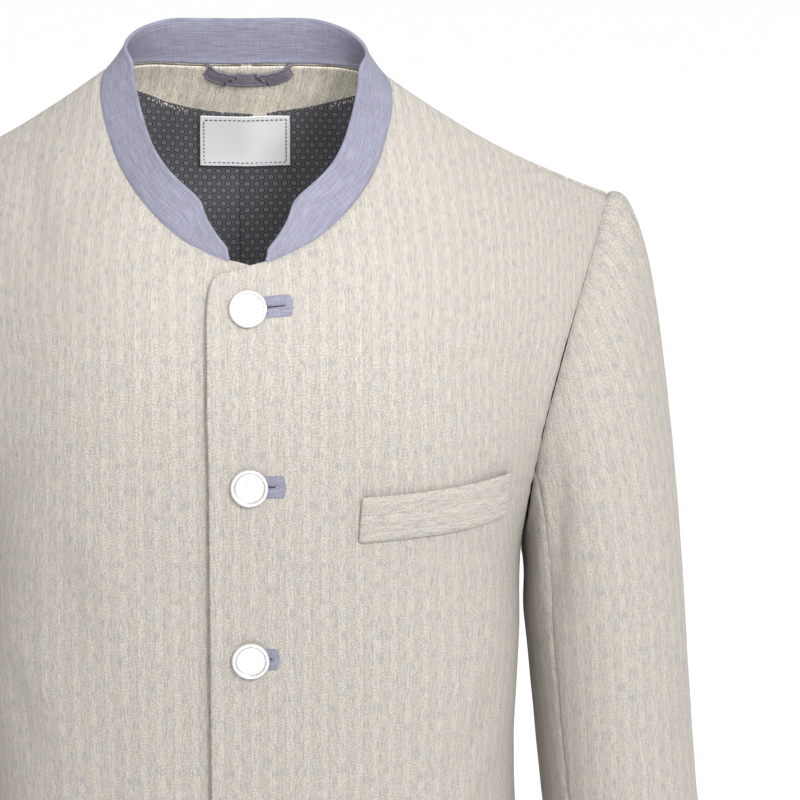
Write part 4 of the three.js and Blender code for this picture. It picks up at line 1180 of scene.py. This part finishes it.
class Tree:
    """Short calls for the nodes of one tree"""

    def __init__(self, tree):
        self.tree = tree

    def feed(self, socket, value):
        if isinstance(value, bpy.types.NodeSocket):
            self.tree.links.new(value, socket)
        else:
            socket.default_value = value

    def node(self, kind, inputs=None, **settings):
        made = self.tree.nodes.new(kind)
        for name, value in settings.items():
            setattr(made, name, value)
        for socket, value in (inputs or {}).items():
            self.feed(made.inputs[socket], value)
        return made

    def math(self, operation, *values):
        return self.node("ShaderNodeMath", dict(enumerate(values)), operation=operation).outputs[0]

    def mix(self, share, first, second):
        made = self.node("ShaderNodeMix", {0: share, 6: first, 7: second}, data_type="RGBA")
        return made.outputs[2]

    def noise(self, place, scale, detail=2.0):
        inputs = {"Vector": place, "Scale": scale, "Detail": detail}
        return self.node("ShaderNodeTexNoise", inputs).outputs[0]

    def stretched(self, place, across, along):
        inputs = {0: place, 1: (across, along, 1.0)}
        return self.node("ShaderNodeVectorMath", inputs, operation="MULTIPLY").outputs[0]

    def band(self, value, low, high, first=0.0, second=1.0):
        inputs = {"Value": value, "From Min": low, "From Max": high, "To Min": first, "To Max": second}
        return self.node("ShaderNodeMapRange", inputs, interpolation_type="SMOOTHSTEP").outputs[0]

    def group(self, name, inputs):
        made = self.node("ShaderNodeGroup", node_tree=NODE_GROUPS[name]())
        for socket, value in inputs.items():
            self.feed(made.inputs[socket], value)
        return made


def group_tree(name, inputs, outputs):
    """An empty node group with named sockets"""
    tree = bpy.data.node_groups.new(name, "ShaderNodeTree")
    for label, kind, default in inputs:
        socket = tree.interface.new_socket(name=label, in_out="INPUT", socket_type=kind)
        if default is not None:
            socket.default_value = default
    for label, kind in outputs:
        tree.interface.new_socket(name=label, in_out="OUTPUT", socket_type=kind)
    t = Tree(tree)
    return tree, t, t.node("NodeGroupInput").outputs, t.node("NodeGroupOutput").inputs


def herringbone_group():
    """Twill lines that turn back at each column, and the columns themselves"""
    if "Herringbone" in bpy.data.node_groups:
        return bpy.data.node_groups["Herringbone"]
    tree, t, given, out = group_tree(
        "Herringbone",
        [("Cloth", "NodeSocketVector", None), ("Width", "NodeSocketFloat", 0.0052),
         ("Pitch", "NodeSocketFloat", 0.0016)],
        [("Line", "NodeSocketFloat"), ("Edge", "NodeSocketFloat"), ("Side", "NodeSocketFloat")])
    sway = t.noise(t.stretched(given["Cloth"], 1.0, 1.0), 22.0, 1.0)
    parts = t.node("ShaderNodeSeparateXYZ", {0: given["Cloth"]}).outputs
    u = t.math("MULTIPLY_ADD", sway, 0.0007, parts[0])
    columns = t.math("DIVIDE", u, given["Width"])
    side = t.math("FLOORED_MODULO", t.math("FLOOR", columns), 2.0)
    zigzag = t.math("PINGPONG", u, given["Width"])
    phase = t.math("DIVIDE", t.math("ADD", parts[1], zigzag), given["Pitch"])
    phase = t.math("MULTIPLY_ADD", side, 0.5, phase)
    wave = t.math("SINE", t.math("MULTIPLY", phase, 2 * math.pi))
    line = t.math("MULTIPLY_ADD", wave, 0.5, 0.5)
    from_middle = t.math("ABSOLUTE", t.math("SUBTRACT", t.math("FRACT", columns), 0.5))
    t.feed(out["Line"], line)
    t.feed(out["Edge"], t.band(from_middle, 0.4, 0.5))
    t.feed(out["Side"], side)
    return tree


def slub_group():
    """Thicker stretches of single threads along the grain"""
    if "Slub" in bpy.data.node_groups:
        return bpy.data.node_groups["Slub"]
    tree, t, given, out = group_tree(
        "Slub",
        [("Cloth", "NodeSocketVector", None), ("Amount", "NodeSocketFloat", 0.62)],
        [("Mask", "NodeSocketFloat"), ("Hue", "NodeSocketFloat"), ("Thread", "NodeSocketFloat")])
    long = t.noise(t.stretched(given["Cloth"], 860.0, 130.0), 1.0, 1.0)
    fine = t.noise(t.stretched(given["Cloth"], 1100.0, 1000.0), 1.0, 1.0)
    high = t.math("ADD", given["Amount"], 0.1)
    mask = t.node("ShaderNodeMapRange", {"Value": long, "From Min": given["Amount"], "From Max": high})
    t.feed(out["Mask"], mask.outputs[0])
    t.feed(out["Hue"], t.noise(t.stretched(given["Cloth"], 420.0, 60.0), 1.0, 1.0))
    t.feed(out["Thread"], t.math("MULTIPLY_ADD", fine, 0.75, t.math("MULTIPLY", long, 0.25)))
    return tree


def threads_group():
    """Plain weave: threads over and under in both directions"""
    if "Threads" in bpy.data.node_groups:
        return bpy.data.node_groups["Threads"]
    tree, t, given, out = group_tree(
        "Threads",
        [("Cloth", "NodeSocketVector", None), ("Pitch", "NodeSocketFloat", 0.0009)],
        [("Height", "NodeSocketFloat")])
    parts = t.node("ShaderNodeSeparateXYZ", {0: given["Cloth"]}).outputs
    turn = t.math("DIVIDE", math.pi, given["Pitch"])
    a = t.math("SINE", t.math("MULTIPLY", parts[0], turn))
    b = t.math("SINE", t.math("MULTIPLY", parts[1], turn))
    t.feed(out["Height"], t.math("MULTIPLY_ADD", t.math("MULTIPLY", a, b), 0.5, 0.5))
    return tree


NODE_GROUPS = {"Herringbone": herringbone_group, "Slub": slub_group, "Threads": threads_group}


MATERIAL_PREFIX = "jacket_"


def new_material(name):
    """A material with its shader, and the flat coordinates of the cloth"""
    made = bpy.data.materials.new(MATERIAL_PREFIX + name)
    made.use_nodes = True
    t = Tree(made.node_tree)
    shader = made.node_tree.nodes["Principled BSDF"]
    cloth = t.node("ShaderNodeUVMap", uv_map="cloth").outputs[0]
    return made, t, shader, cloth


def finish_cloth(t, shader, colour, height, distance, roughness, sheen=0.0):
    t.feed(shader.inputs["Base Color"], colour)
    shader.inputs["Roughness"].default_value = roughness
    shader.inputs["Specular IOR Level"].default_value = 0.2
    shader.inputs["Sheen Weight"].default_value = sheen
    bump = t.node("ShaderNodeBump", {"Height": height, "Distance": distance, "Strength": 0.7})
    t.feed(shader.inputs["Normal"], bump.outputs[0])


def rgba(colour, share=1.0):
    return (*[c * share for c in colour[:3]], 1.0)


def linen_material(name, tones, contrast, columns):
    """Herringbone linen in streaks of warm, lilac and cool thread, with grey-blue flecks"""
    sizes = sizes_of(bpy.context)
    warm, lilac, cool, dark, fleck = tones
    made, t, shader, cloth = new_material(name)
    given = {"Cloth": cloth, "Width": sizes.stripe_width, "Pitch": sizes.twill_pitch}
    bone = t.group("Herringbone", given).outputs
    slub = t.group("Slub", {"Cloth": cloth, "Amount": 0.57}).outputs
    ground = t.mix(t.band(slub["Hue"], 0.38, 0.62, 0.0, 0.7), rgba(warm), rgba(lilac))
    cooler = t.noise(t.stretched(cloth, 380.0, 85.0), 1.0, 1.0)
    ground = t.mix(t.band(cooler, 0.5, 0.68, 0.0, 0.7), ground, rgba(cool))
    share = t.math("MULTIPLY", bone["Line"], 0.45)
    share = t.math("MULTIPLY_ADD", bone["Side"], columns, share)
    share = t.math("MULTIPLY_ADD", bone["Edge"], 1.5 * columns, share)
    share = t.math("MULTIPLY_ADD", t.band(slub["Thread"], 0.39, 0.61), 0.8, share)
    ground = t.mix(t.math("MULTIPLY", share, contrast), ground, rgba(dark))
    ground = t.mix(t.math("MULTIPLY", slub["Mask"], 0.45 * contrast), ground, rgba(fleck))
    height = t.math("MULTIPLY_ADD", slub["Mask"], 0.8, t.math("MULTIPLY", bone["Line"], 0.6))
    height = t.math("MULTIPLY_ADD", slub["Thread"], 0.7, height)
    finish_cloth(t, shader, ground, height, 0.0002, 0.92, 0.05)
    return made


def plain_material(name, colour, pitch, roughness, streaks=0.0, distance=0.00012):
    """Plain-woven cloth, smooth or with uneven threads in both directions"""
    made, t, shader, cloth = new_material(name)
    weave = t.group("Threads", {"Cloth": cloth, "Pitch": pitch}).outputs[0]
    along = t.noise(t.stretched(cloth, 1100.0, 70.0), 1.0, 1.0)
    across = t.noise(t.stretched(cloth, 90.0, 1100.0), 1.0, 1.0)
    threads = t.math("ADD", t.band(along, 0.3, 0.7), t.math("MULTIPLY", t.band(across, 0.3, 0.7), 0.6))
    darker = t.math("MULTIPLY_ADD", threads, streaks, t.math("MULTIPLY", weave, 0.1))
    ground = t.mix(darker, rgba(colour), rgba(colour, 0.5))
    height = t.math("MULTIPLY_ADD", threads, 0.8, weave)
    finish_cloth(t, shader, ground, height, distance, roughness, 0.05)
    return made


def ring_mask(t, across, along, inner, outer):
    """A soft ring round the point that two lengths are measured from"""
    far = t.math("SQRT", t.math("ADD", t.math("POWER", across, 2.0), t.math("POWER", along, 2.0)))
    rising = t.band(far, inner - 0.12, inner + 0.12)
    return t.math("MULTIPLY", rising, t.band(far, outer - 0.12, outer + 0.12, 1.0, 0.0))


def lining_material():
    """Smooth lining printed with rows of rings and small dots"""
    colours = colours_of(bpy.context)
    made, t, shader, cloth = new_material("lining")
    parts = t.node("ShaderNodeSeparateXYZ", {0: cloth}).outputs

    def cell(value, pitch, shift):
        place = t.math("ADD", t.math("DIVIDE", value, pitch * MM), shift)
        return t.math("MULTIPLY", t.math("SUBTRACT", t.math("FRACT", place), 0.5), pitch)

    dark = pale = 0.0
    for shift in (0.0, 0.5):
        across, along = cell(parts[0], 6.0, shift), cell(parts[1], 9.2, shift)
        dark = t.math("ADD", dark, ring_mask(t, across, along, 1.5, 2.1))
        dark = t.math("ADD", dark, ring_mask(t, across, along, 0.5, 0.8))
        halo = ring_mask(t, across, along, 1.0, 1.4)
        pale = t.math("ADD", pale, t.math("ADD", halo, ring_mask(t, across, along, -1.0, 0.42)))
    ground = t.mix(t.math("MINIMUM", dark, 1.0), rgba(colours.lining), rgba(colours.lining, 0.2))
    ground = t.mix(t.math("MULTIPLY", t.math("MINIMUM", pale, 1.0), 0.85), ground, rgba(colours.lining_print))
    weave = t.group("Threads", {"Cloth": cloth, "Pitch": 0.0005}).outputs[0]
    finish_cloth(t, shader, ground, weave, 0.00003, 0.5, 0.0)
    return made


def metal_material():
    """Old-silver finish, darker in the ring inside the rim"""
    colours = colours_of(bpy.context)
    made, t, shader, cloth = new_material("metal")
    parts = t.node("ShaderNodeSeparateXYZ", {0: cloth}).outputs
    far = t.math("SQRT", t.math("ADD", t.math("POWER", parts[0], 2.0), t.math("POWER", parts[1], 2.0)))
    rim = BUTTON["rim"] * MM
    rising = t.band(far, rim - 0.0018, rim - 0.0008)
    falling = t.band(far, rim - 0.0008, rim + 0.0001, 1.0, 0.0)
    ring = t.math("MULTIPLY", rising, falling)
    wear = t.noise(cloth, 700.0, 3.0)
    dull = t.math("MULTIPLY_ADD", ring, 0.55, t.band(wear, 0.35, 0.75, 0.0, 0.3))
    t.feed(shader.inputs["Base Color"], t.mix(dull, rgba(colours.metal), rgba(colours.metal, 0.35)))
    shader.inputs["Metallic"].default_value = 1.0
    t.feed(shader.inputs["Roughness"], t.band(wear, 0.3, 0.7, 0.28, 0.42))
    return made


def thread_material(name, colour):
    made, _, shader, _ = new_material(name)
    shader.inputs["Base Color"].default_value = rgba(colour)
    shader.inputs["Roughness"].default_value = 0.75
    return made


def material(name):
    """A material of the jacket, made when it is first asked for"""
    if MATERIAL_PREFIX + name in bpy.data.materials:
        return bpy.data.materials[MATERIAL_PREFIX + name]
    c = colours_of(bpy.context)
    makers = {
        "linen": lambda: linen_material(
            "linen", (c.linen, c.linen_lilac, c.linen_cool, c.linen_line, c.linen_fleck), 1.0, 0.16),
        # The facing is the linen pattern in its own lighter tones, lifted further as painted light for the
        # shaded inside of the neck
        "facing": lambda: linen_material(
            "facing", (c.facing, c.facing, c.facing, c.facing_line, c.facing_line), 0.6, 0.16),
        "lavender": lambda: plain_material("lavender", c.lavender, 0.0013, 0.85, 0.4),
        "loop": lambda: plain_material("loop", c.loop, 0.0007, 0.8),
        "label": lambda: plain_material("label", c.label, 0.0005, 0.55, 0.0, 0.00003),
        "lining": lining_material,
        "metal": metal_material,
        "thread": lambda: thread_material("thread", c.thread),
        "pick_thread": lambda: thread_material("pick_thread", c.pick_thread),
        "dark_thread": lambda: thread_material("dark_thread", c.dark_thread),
    }
    return makers[name]()


# Settings that the sidebar shows

def length(name, description, default):
    return FloatProperty(name=name, description=description, default=default, min=0.0, subtype="DISTANCE",
                         unit="LENGTH", precision=5)


def colour(name, description, default):
    return FloatVectorProperty(name=name, description=description, default=default, size=3, min=0.0, max=1.0,
                               subtype="COLOR")


def count(name, description, default):
    return IntProperty(name=name, description=description, default=default, min=4, subtype="UNSIGNED")


class JacketSizes(bpy.types.PropertyGroup):
    """Sizes of the jacket that can be changed without a new cut"""
    cloth_wall: length("Cloth wall", "Thickness of the linen with its facing", 0.0019)
    collar_wall: length("Collar wall", "Thickness of the collar band", 0.0023)
    button_pitch: length("Button pitch", "Distance between buttons along the closing", 0.105)
    shoulder_lean: length(
        "Shoulder lean", "How far the stripes lean at the armhole end of the shoulder", 0.05)
    stripe_width: length("Stripe width", "Width of one herringbone column", 0.0052)
    twill_pitch: length("Twill pitch", "Distance between twill lines along the grain", 0.0018)
    stitch_pitch: length("Stitch pitch", "Distance between pick stitches of the front edge", 0.0024)
    rows_to_armpit: count("Rows to armpit", "Rows of points from the shoulder to the armpit", 108)
    rows_below: count("Rows below", "Rows of points from the armpit to the hem", 132)
    panel_columns: count("Panel columns", "Columns of points across a panel", 72)
    cap_rows: count("Cap rows", "Rows of points on the sleeve head", 54)
    arm_rows: count("Arm rows", "Rows of points from the sleeve head to the cuff", 110)


class JacketColours(bpy.types.PropertyGroup):
    """Colours of the cloth, thread and metal"""
    linen: colour("Linen", "Cream thread of the herringbone linen", (0.56, 0.52, 0.445))
    linen_lilac: colour("Lilac linen", "Grey-pink streaks of the linen", (0.50, 0.465, 0.46))
    linen_cool: colour("Cool linen", "Blue-grey streaks of the linen", (0.455, 0.485, 0.485))
    linen_line: colour("Linen line", "Shaded twill lines and slubs of the linen", (0.34, 0.31, 0.275))
    linen_fleck: colour("Flecks", "Grey-blue thicker threads in the linen", (0.25, 0.27, 0.31))
    # Facing tones: the facing's own cream thread, painted much lighter than the linen outside as painted
    # light for the shade inside the back neck
    facing: colour("Facing", "Light thread of the neck facing", (0.97, 0.91, 0.77))
    facing_line: colour("Facing line", "Stripes of the neck facing", (0.34, 0.30, 0.26))
    lavender: colour("Lavender", "Linen of the collar and bound holes", (0.27, 0.27, 0.35))
    lining: colour("Lining", "Ground of the lining", (0.13, 0.126, 0.14))
    lining_print: colour("Lining print", "Light rings and dots of the lining", (0.42, 0.41, 0.42))
    label: colour("Label", "Woven neck label", (0.95, 0.96, 0.98))
    loop: colour("Loop", "Hanger loop", (0.19, 0.175, 0.215))
    metal: colour("Metal", "Old-silver buttons", (0.95, 0.95, 0.95))
    thread: colour("Thread", "Light sewing thread", (0.85, 0.85, 0.84))
    pick_thread: colour("Pick thread", "Thread of the pick stitches", (0.40, 0.36, 0.31))
    dark_thread: colour("Dark thread", "Thread round the label", (0.05, 0.05, 0.06))
    floor: colour("Floor", "Studio floor", (0.93, 0.93, 0.93))


# The pieces

def settled_sheet(sheet):
    sheet.points = settled(sheet.points)
    return sheet


class JacketOperator(bpy.types.Operator):
    """One step of building the jacket"""
    bl_options = {"REGISTER", "UNDO"}

    def execute(self, context):
        self.build(sizes_of(context))
        return {"FINISHED"}


class JACKET_OT_fronts(JacketOperator):
    """Build the two fronts"""
    bl_idname = "jacket.fronts"
    bl_label = "Fronts"

    def build(self, sizes):
        wall = sizes.cloth_wall / MM
        left = settled_sheet(front_sheet(True, LEFT_FRONT_CREASES, sizes))
        right = settled_sheet(front_sheet(False, RIGHT_FRONT_CREASES, sizes).mirrored())
        add_cloth("front_left", left, wall, material("linen"), ["front_left"])
        add_cloth("front_right", right, wall, material("linen"), ["front_right"])


class JACKET_OT_backs(JacketOperator):
    """Build the two backs"""
    bl_idname = "jacket.backs"
    bl_label = "Backs"

    def build(self, sizes):
        wall = sizes.cloth_wall / MM
        left = settled_sheet(back_sheet(LEFT_BACK_CREASES, sizes))
        right = settled_sheet(back_sheet(RIGHT_BACK_CREASES, sizes).mirrored())
        for side, sheet in (("left", left), ("right", right)):
            name = f"back_{side}"
            add_cloth(name, sheet, wall, material("linen"), [name])


class JACKET_OT_sleeves(JacketOperator):
    """Build the upper and under sleeves"""
    bl_idname = "jacket.sleeves"
    bl_label = "Sleeves"

    def build(self, sizes):
        wall = sizes.cloth_wall / MM
        fore, rear, around = SLEEVE_SEAMS["front"], SLEEVE_SEAMS["back"], SLEEVE_SEAMS["around"]
        cuts = {"upper": (fore, rear, 68), "under": (rear, around + fore, 28)}
        for side, creases in (("left", LEFT_SLEEVE_CREASES), ("right", RIGHT_SLEEVE_CREASES)):
            for part, (first, last, columns) in cuts.items():
                sheet = sleeve_sheet(first, last, columns, creases, sizes)
                sheet = settled_sheet(sheet if side == "left" else sheet.mirrored())
                name = f"sleeve_{side}_{part}"
                add_cloth(name, sheet, wall, material("linen"), [name])


class JACKET_OT_collar(JacketOperator):
    """Build the stand collar"""
    bl_idname = "jacket.collar"
    bl_label = "Collar"

    def build(self, sizes):
        sheet = settled_sheet(collar_sheet())
        add_cloth("collar", sheet, sizes.collar_wall / MM, material("lavender"), ["collar"])


class JACKET_OT_neck(JacketOperator):
    """Build the pieces inside the back neck"""
    bl_idname = "jacket.neck"
    bl_label = "Back Neck"

    def build(self, sizes):
        facing = settled_sheet(facing_sheet(3.7))
        add_cloth("facing_back_neck", facing, 1.2, material("facing"), ["facing_back_neck"])
        for side, name in ((1, "lining_back_left"), (-1, "lining_back_right")):
            sheet = settled_sheet(lining_sheet(side, 4.3))
            add_cloth(name, sheet, 0.9, material("lining"), [name])
        label = settled_sheet(label_sheet(6.7))
        add_cloth("neck_label", label, 0.6, material("label"), ["neck_label"])
        loop = settled_sheet(loop_sheet(6.0))
        strip = shell_mesh("hanger_loop", loop, 1.3)
        made = add_piece("hanger_loop", strip, material("loop"), ["hanger_loop"])
        run = float(np.ptp(loop.cloth[..., 1])) * MM
        min(loop.area(), 2 * LOOP["width"] * MM * run)


class JACKET_OT_welt(JacketOperator):
    """Build the breast welt"""
    bl_idname = "jacket.welt"
    bl_label = "Breast Welt"

    def build(self, sizes):
        welt = settled_sheet(welt_sheet(3.3))
        add_cloth("welt_breast", welt, 1.8, material("linen"), ["welt_breast"])


class JACKET_OT_buttonholes(JacketOperator):
    """Build the bound buttonholes"""
    bl_idname = "jacket.buttonholes"
    bl_label = "Buttonholes"

    def build(self, sizes):
        for i, frame_matrix in enumerate(closing_frames()):
            sheet = lips_sheet(HOLES["right"][i])
            turned = frame_matrix @ Matrix.Rotation(math.radians(HOLES["tilt"][i]), 4, "Z")
            sheet.points = placed(sheet.points, turned)
            name = f"buttonhole_{i + 1}"
            add_cloth(name, sheet, 1.5, material("lavender"), [name])


class JACKET_OT_buttons(JacketOperator):
    """Build the metal buttons with their shanks"""
    bl_idname = "jacket.buttons"
    bl_label = "Buttons"

    def build(self, sizes):
        for i, frame_matrix in enumerate(closing_frames()):
            name = f"button_{i + 1}"
            add_piece(name, button_mesh(name, frame_matrix), material("metal"), [name])


def edge_stitches(sizes):
    """Pick stitches just inside the edge of the left front"""
    sheet = front_sheet(True, LEFT_FRONT_CREASES, sizes)
    pit = int(np.argmin(np.abs(panel_rows(sizes.rows_to_armpit, sizes.rows_below) - PIT_AT)))
    normals = sheet.normals()
    inside = 3
    line = sheet.points[pit + 1:-1, inside]
    here, along = spread(line, sizes.stitch_pitch / MM)
    out = normals[pit + 1:-1, inside]
    nearest = np.linalg.norm(here[:, None] - line[None], axis=-1).argmin(axis=1)
    return stitch_mesh("edge_stitches", here, along, out[nearest], 0.95, 0.5, 0.32)


def facing_stitches():
    """Loose white stitches at the sides of the facing's lower edge"""
    x = np.concatenate([np.linspace(-60, -37, 16), np.linspace(52, 74, 15)])
    sway = 0.7 * np.sin(2.3 * x)
    here = inside_points(x, facing_edge_z(x) + 1.2 + sway, np.full(x.shape, 4.6))
    tip = inside_points(x + 0.6 * np.sin(1.7 * x), facing_edge_z(x) - 1.4 + sway, np.full(x.shape, 4.6))
    normals = np.tile([0.0, -1.0, 0.0], (len(x), 1))
    middle = settled((here + tip) / 2)
    return stitch_mesh("facing_stitches", middle, unit(tip - here), normals, 1.7, 0.4, 0.35)


def label_stitches():
    """A dashed line round the label"""
    left, right = LABEL["left"] + 2.2, LABEL["right"] - 2.2
    top, bottom = LABEL["top"] - 2.2, LABEL["bottom"] + 2.2
    corners = [(left, top), (right, top), (right, bottom), (left, bottom), (left, top)]
    x = np.concatenate([np.linspace(a[0], b[0], 60) for a, b in zip(corners, corners[1:])])
    z = np.concatenate([np.linspace(a[1], b[1], 60) for a, b in zip(corners, corners[1:])])
    line = settled(inside_points(x, z, np.full(x.shape, 7.05)))
    here, along = spread(line, 2.9)
    normals = np.tile([0.0, -1.0, 0.0], (len(here), 1))
    return stitch_mesh("label_stitches", here, along, normals, 1.8, 0.7, 0.35)


class JACKET_OT_stitches(JacketOperator):
    """Build the stitches that show"""
    bl_idname = "jacket.stitches"
    bl_label = "Stitches"

    def build(self, sizes):
        add_piece("edge_stitches", edge_stitches(sizes), material("pick_thread"))
        add_piece("facing_stitches", facing_stitches(), material("thread"))
        add_piece("label_stitches", label_stitches(), material("dark_thread"))


# Studio

def lamp_object(name, lamp, place, aim):
    """A lamp in its place, turned to what it lights"""
    made = bpy.data.objects.new(name, lamp)
    bpy.context.scene.collection.objects.link(made)
    made.location = place
    made.rotation_euler = (Vector(aim) - Vector(place)).to_track_quat("-Z", "Y").to_euler()
    return made


def area_light(name, place, aim, size, power):
    """A round soft box"""
    lamp = bpy.data.lights.new(name, "AREA")
    lamp.shape = "DISK"
    lamp.size = size
    lamp.energy = power
    return lamp_object(name, lamp, place, aim)


def spot_light(name, place, aim, angle, power):
    """A soft round pool of light at the neck"""
    lamp = bpy.data.lights.new(name, "SPOT")
    lamp.spot_size = math.radians(angle)
    lamp.spot_blend = 1.0
    lamp.shadow_soft_size = NECK_LIGHT_SOFTNESS
    lamp.energy = power
    return lamp_object(name, lamp, place, aim)


def studio_floor():
    """A wide plain floor below the garment"""
    half, low = FLOOR["half"], FLOOR["z"]
    mesh = bpy.data.meshes.new("studio_floor")
    corners = [(-half, -half, low), (half, -half, low), (half, half, low), (-half, half, low)]
    mesh.from_pydata(corners, [], [(0, 1, 2, 3)])
    plain = bpy.data.materials.new("studio_floor")
    plain.use_nodes = True
    shader = plain.node_tree.nodes["Principled BSDF"]
    shader.inputs["Base Color"].default_value = rgba(colours_of(bpy.context).floor)
    shader.inputs["Roughness"].default_value = 0.9
    mesh.materials.append(plain)
    floor = bpy.data.objects.new("studio_floor", mesh)
    bpy.context.scene.collection.objects.link(floor)
    return floor


def studio_world():
    """Even white light from all round"""
    world = bpy.data.worlds.new("studio")
    world.use_nodes = True
    world.node_tree.nodes["Background"].inputs["Color"].default_value = (1.0, 1.0, 1.0, 1.0)
    world.node_tree.nodes["Background"].inputs["Strength"].default_value = ROOM_STRENGTH
    bpy.context.scene.world = world


def studio_camera():
    """A long lens at the photo's viewing angle"""
    lens = bpy.data.cameras.new("camera")
    lens.sensor_width = CAMERA["sensor"]
    lens.lens = CAMERA["lens"]
    lens.clip_end = CAMERA_REACH
    made = bpy.data.objects.new("camera", lens)
    bpy.context.scene.collection.objects.link(made)
    made.location = CAMERA["place"]
    aim = Vector(CAMERA["aim"]) - made.location
    made.rotation_euler = aim.to_track_quat("-Z", "Y").to_euler()
    bpy.context.scene.camera = made
    return made


class JACKET_OT_stage(JacketOperator):
    """Build the floor, lights and camera"""
    bl_idname = "jacket.stage"
    bl_label = "Stage"

    def build(self, sizes):
        studio_world()
        bpy.context.scene.view_settings.view_transform = "Standard"
        key = area_light("key", **KEY_LIGHT)
        spot = spot_light("spot", **NECK_LIGHT)
        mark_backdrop(studio_floor(), key, spot, studio_camera())


class VIEW3D_PT_jacket(bpy.types.Panel):
    """Sidebar tab with the steps and settings of the jacket"""
    bl_label = "Trachten Jacket"
    bl_space_type = "VIEW_3D"
    bl_region_type = "UI"
    bl_category = "Jacket"

    def draw(self, context):
        layout = self.layout
        for settings in (sizes_of(context), colours_of(context)):
            box = layout.box()
            for name in settings.__annotations__:
                box.prop(settings, name)
        for step in STEPS:
            layout.operator(step.bl_idname)


STEPS = (
    JACKET_OT_fronts,
    JACKET_OT_backs,
    JACKET_OT_sleeves,
    JACKET_OT_collar,
    JACKET_OT_neck,
    JACKET_OT_welt,
    JACKET_OT_buttonholes,
    JACKET_OT_buttons,
    JACKET_OT_stitches,
    JACKET_OT_stage,
)
CLASSES = (JacketSizes, JacketColours, *STEPS, VIEW3D_PT_jacket)


def register():
    for cls in CLASSES:
        bpy.utils.register_class(cls)
    bpy.types.Scene.jacket_sizes = PointerProperty(type=JacketSizes)
    bpy.types.Scene.jacket_colours = PointerProperty(type=JacketColours)


def unregister():
    del bpy.types.Scene.jacket_colours
    del bpy.types.Scene.jacket_sizes
    for cls in reversed(CLASSES):
        bpy.utils.unregister_class(cls)


def plain_list(value):
    return [plain_list(v) for v in value] if hasattr(value, "__len__") else float(value)


def write_sizes():
    sizes = {"cad": plain_list(CAD_BOX), "visual": plain_list(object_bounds())}


def main():
    register()
    bpy.ops.jacket.fronts()
    bpy.ops.jacket.backs()
    bpy.ops.jacket.sleeves()
    bpy.ops.jacket.collar()
    bpy.ops.jacket.neck()
    bpy.ops.jacket.welt()
    bpy.ops.jacket.buttonholes()
    bpy.ops.jacket.buttons()
    bpy.ops.jacket.stitches()
    bpy.ops.jacket.stage()
    write_sizes()


if __name__ == "__main__":
    main()
